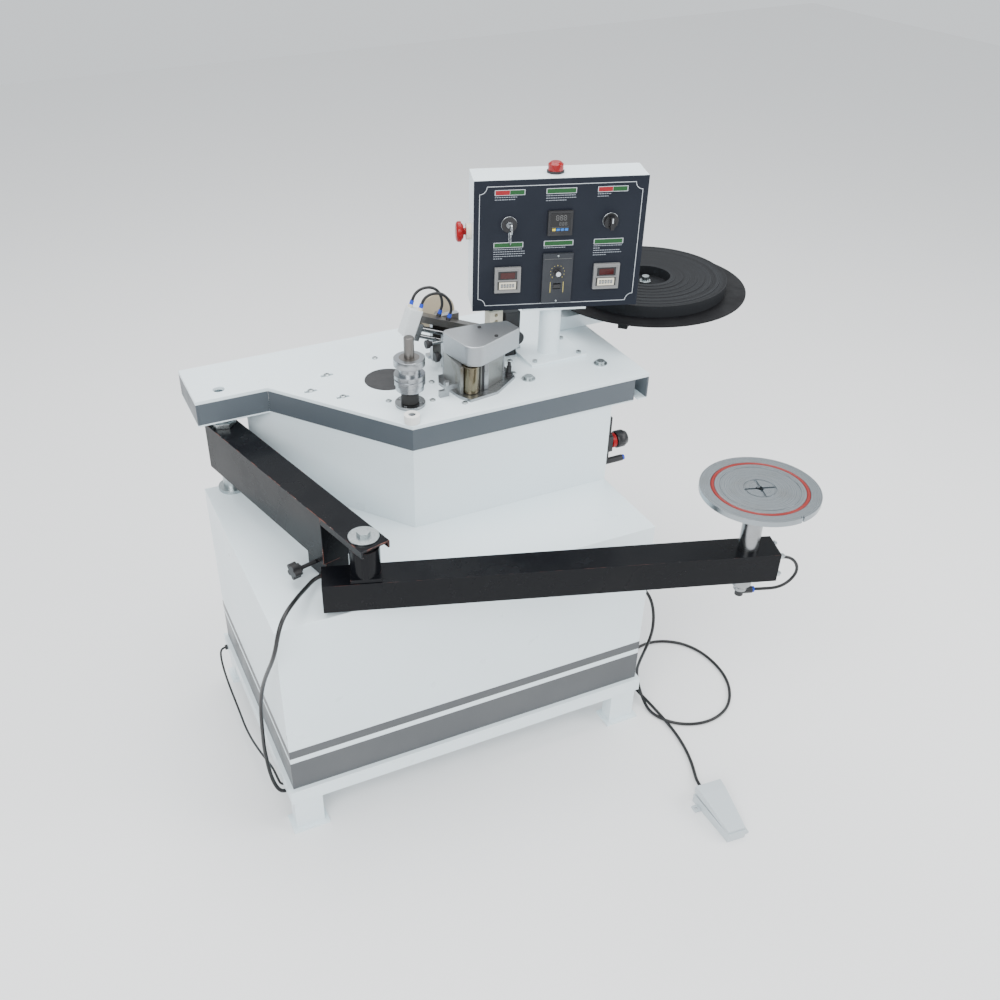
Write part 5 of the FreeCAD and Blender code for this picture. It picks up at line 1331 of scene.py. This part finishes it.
# --------------------------------------------------------------------------- tape reel
@dataclass(frozen=True)
class TapeReel:
    """The reel board, its arm and the wound tape."""

    inner: float = 54 * MM
    turns: int = 31

    def build(self) -> None:
        """Dress the board and wind the coil."""
        dressed_node("reel_disc", BOARD, 0.5 * MM)
        arm = dressed_node("reel_arm", WHITE, 0.9 * MM)
        at = pivot("reel_spin")
        low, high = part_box("reel_arm")
        repaint(arm, (at.x - 0.03, at.y - 0.03, low.z + 30.2 * MM), (at.x + 0.03, at.y + 0.03, high.z + 1),
                ZINC)
        self.coil(at)
        log.info("tape reel: board, arm and coil")

    def coil(self, at: Vector) -> None:
        """Wind the tape as a stepped ring whose upper face rises and falls with its turns."""
        low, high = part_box("tape_coil")
        outer = (high.x - low.x) / 2
        tall = high.z - low.z
        pitch = (outer - self.inner) / self.turns
        tape = WoundTape("wound_edge_tape", (at.x, at.y, 0.0))
        edges = [self.inner + (outer - self.inner) * step / self.turns for step in range(self.turns)]
        stations = [(0, outer - 0.3 * MM), (tall - 1.2 * MM, outer - 0.3 * MM)]
        for step, radius in enumerate(reversed(edges)):
            level = tall - 0.3 * MM - 0.25 * MM * ((step * 5) % 4)
            stations += [(level, radius + pitch - 0.35 * MM), (level - 0.15 * MM, radius + 0.1 * MM)]
        stations += [(3 * MM, self.inner), (2 * MM, self.inner - 1 * MM)]
        coil = turned("tape_coil_wound", (at.x, at.y, low.z), stations, tape, sides=128, rounding=0)
        mount(coil, "reel")
        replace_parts(coil, "tape_coil")


# --------------------------------------------------------------- services and foot switch
@dataclass(frozen=True)
class Services:
    """Air regulator, cable fittings, pump, motor and switchgear."""

    def build(self) -> None:
        """Dress the regulator, the fittings and what the cabinets hold inside."""
        body = dressed_node("regulator_body", BLACK, 0.5 * MM)
        low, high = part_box("regulator_body")
        level = pivot("regulator_knob_turn").z
        wall = low.x
        repaint(body, (wall + 15.5 * MM, -1, level - 17 * MM), (wall + 26 * MM, 1, level + 17 * MM), STOP_RED)
        repaint(body, (wall + 49.9 * MM, -1, low.z), (high.x + 1 * MM, 1, low.z + 20 * MM), BLUE_COLLAR)
        self.knob(level)
        for node, finish, width in (("cable_fittings", BLACK, 0.5), ("drive_motor", MOTOR_ENAMEL, 0.8),
                                    ("drive_belt", RUBBER, 0.2), ("vacuum_pump", PUMP_ENAMEL, 1.2),
                                    ("switchgear", BLACK, 0.6)):
            dressed_node(node, finish, width * MM)
        log.info("services: regulator, fittings, motor, belt, pump and switchgear")

    def knob(self, level: float) -> None:
        """Build the ribbed regulator knob."""
        low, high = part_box("regulator_knob")
        at = pivot("regulator_knob_turn")
        radius = (high.y - low.y) / 2
        long = high.x - low.x
        stations = ((0, radius - 1.5 * MM), (1 * MM, radius - 0.9 * MM), (long - 8 * MM, radius - 0.9 * MM),
                    (long - 7 * MM, radius - 1.3 * MM), (long - 1 * MM, 15 * MM), (long, 13.6 * MM),
                    (long - 0.01 * MM, 11 * MM), (long - 1.5 * MM, 10.6 * MM))
        knob = turned("regulator_cap", (low.x, at.y, level), stations, GLOSSY_BLACK, (1, 0, 0), 40, 0.3 * MM)
        ribbed(knob, lambda face: (abs(face.normal.x) < 0.1
                                   and 1.4 * MM < face.center.x - low.x < long - 8.5 * MM), 0.4 * MM, 0.6 * MM)
        mount(knob, "regulator_knob")
        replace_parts(knob, "regulator_knob")


@dataclass(frozen=True)
class FootSwitch:
    """The cast foot switch at the end of the cable."""

    def build(self) -> None:
        """Dress the base with its dark cable gland, and the treadle."""
        base = dressed_node("pedal_base", PEDAL_ENAMEL, 1.0 * MM, 3)
        axis = Vector(JOINTS["pedal_press"]["axis"])
        place = standing_place(pivot("pedal_press"), axis)
        repaint(base, (-0.02, 0.098, 0.0), (0.02, 0.13, 0.03), BLACK, place)
        treadle = dressed_node("pedal_treadle", PEDAL_ENAMEL, 1.6 * MM, 3)
        treadle.name = "treadle_casting"
        log.info("foot switch: base and treadle")


def main() -> None:
    """Build the studio, then every assembly of the machine."""
    logging.basicConfig(level=logging.INFO, format="%(name)s: %(message)s")
    studio = Studio()
    studio.camera()
    elbow = pivot("elbow_swing")
    arm = standing_place(elbow, pivot("suction_disc_spin") - elbow)
    along = JOINTS["cutter_slide"]["axis"]
    slope = Matrix.Rotation(math.atan2(-along[2], along[0]), 4, "Y")
    cutter = Matrix.Translation((46 * MM, 160 * MM, 875 * MM)) @ slope
    Cords().build(arm, cutter)
    studio.floor()
    studio.lights()
    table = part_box("table_top")[1].z
    Cabinet().build()
    Table().build()
    FoldingArms(arm).build()
    box = standing_place(pivot("control_box_swivel"), JOINTS["rocker_tilt"]["axis"])
    ControlBox(box, -41 * MM).build()
    FeedRoller(table).build()
    GlueHead(table).build()
    EndCutter(cutter, table).build()
    TapeReel().build()
    Services().build()
    FootSwitch().build()


if __name__ == "__main__":
    main()
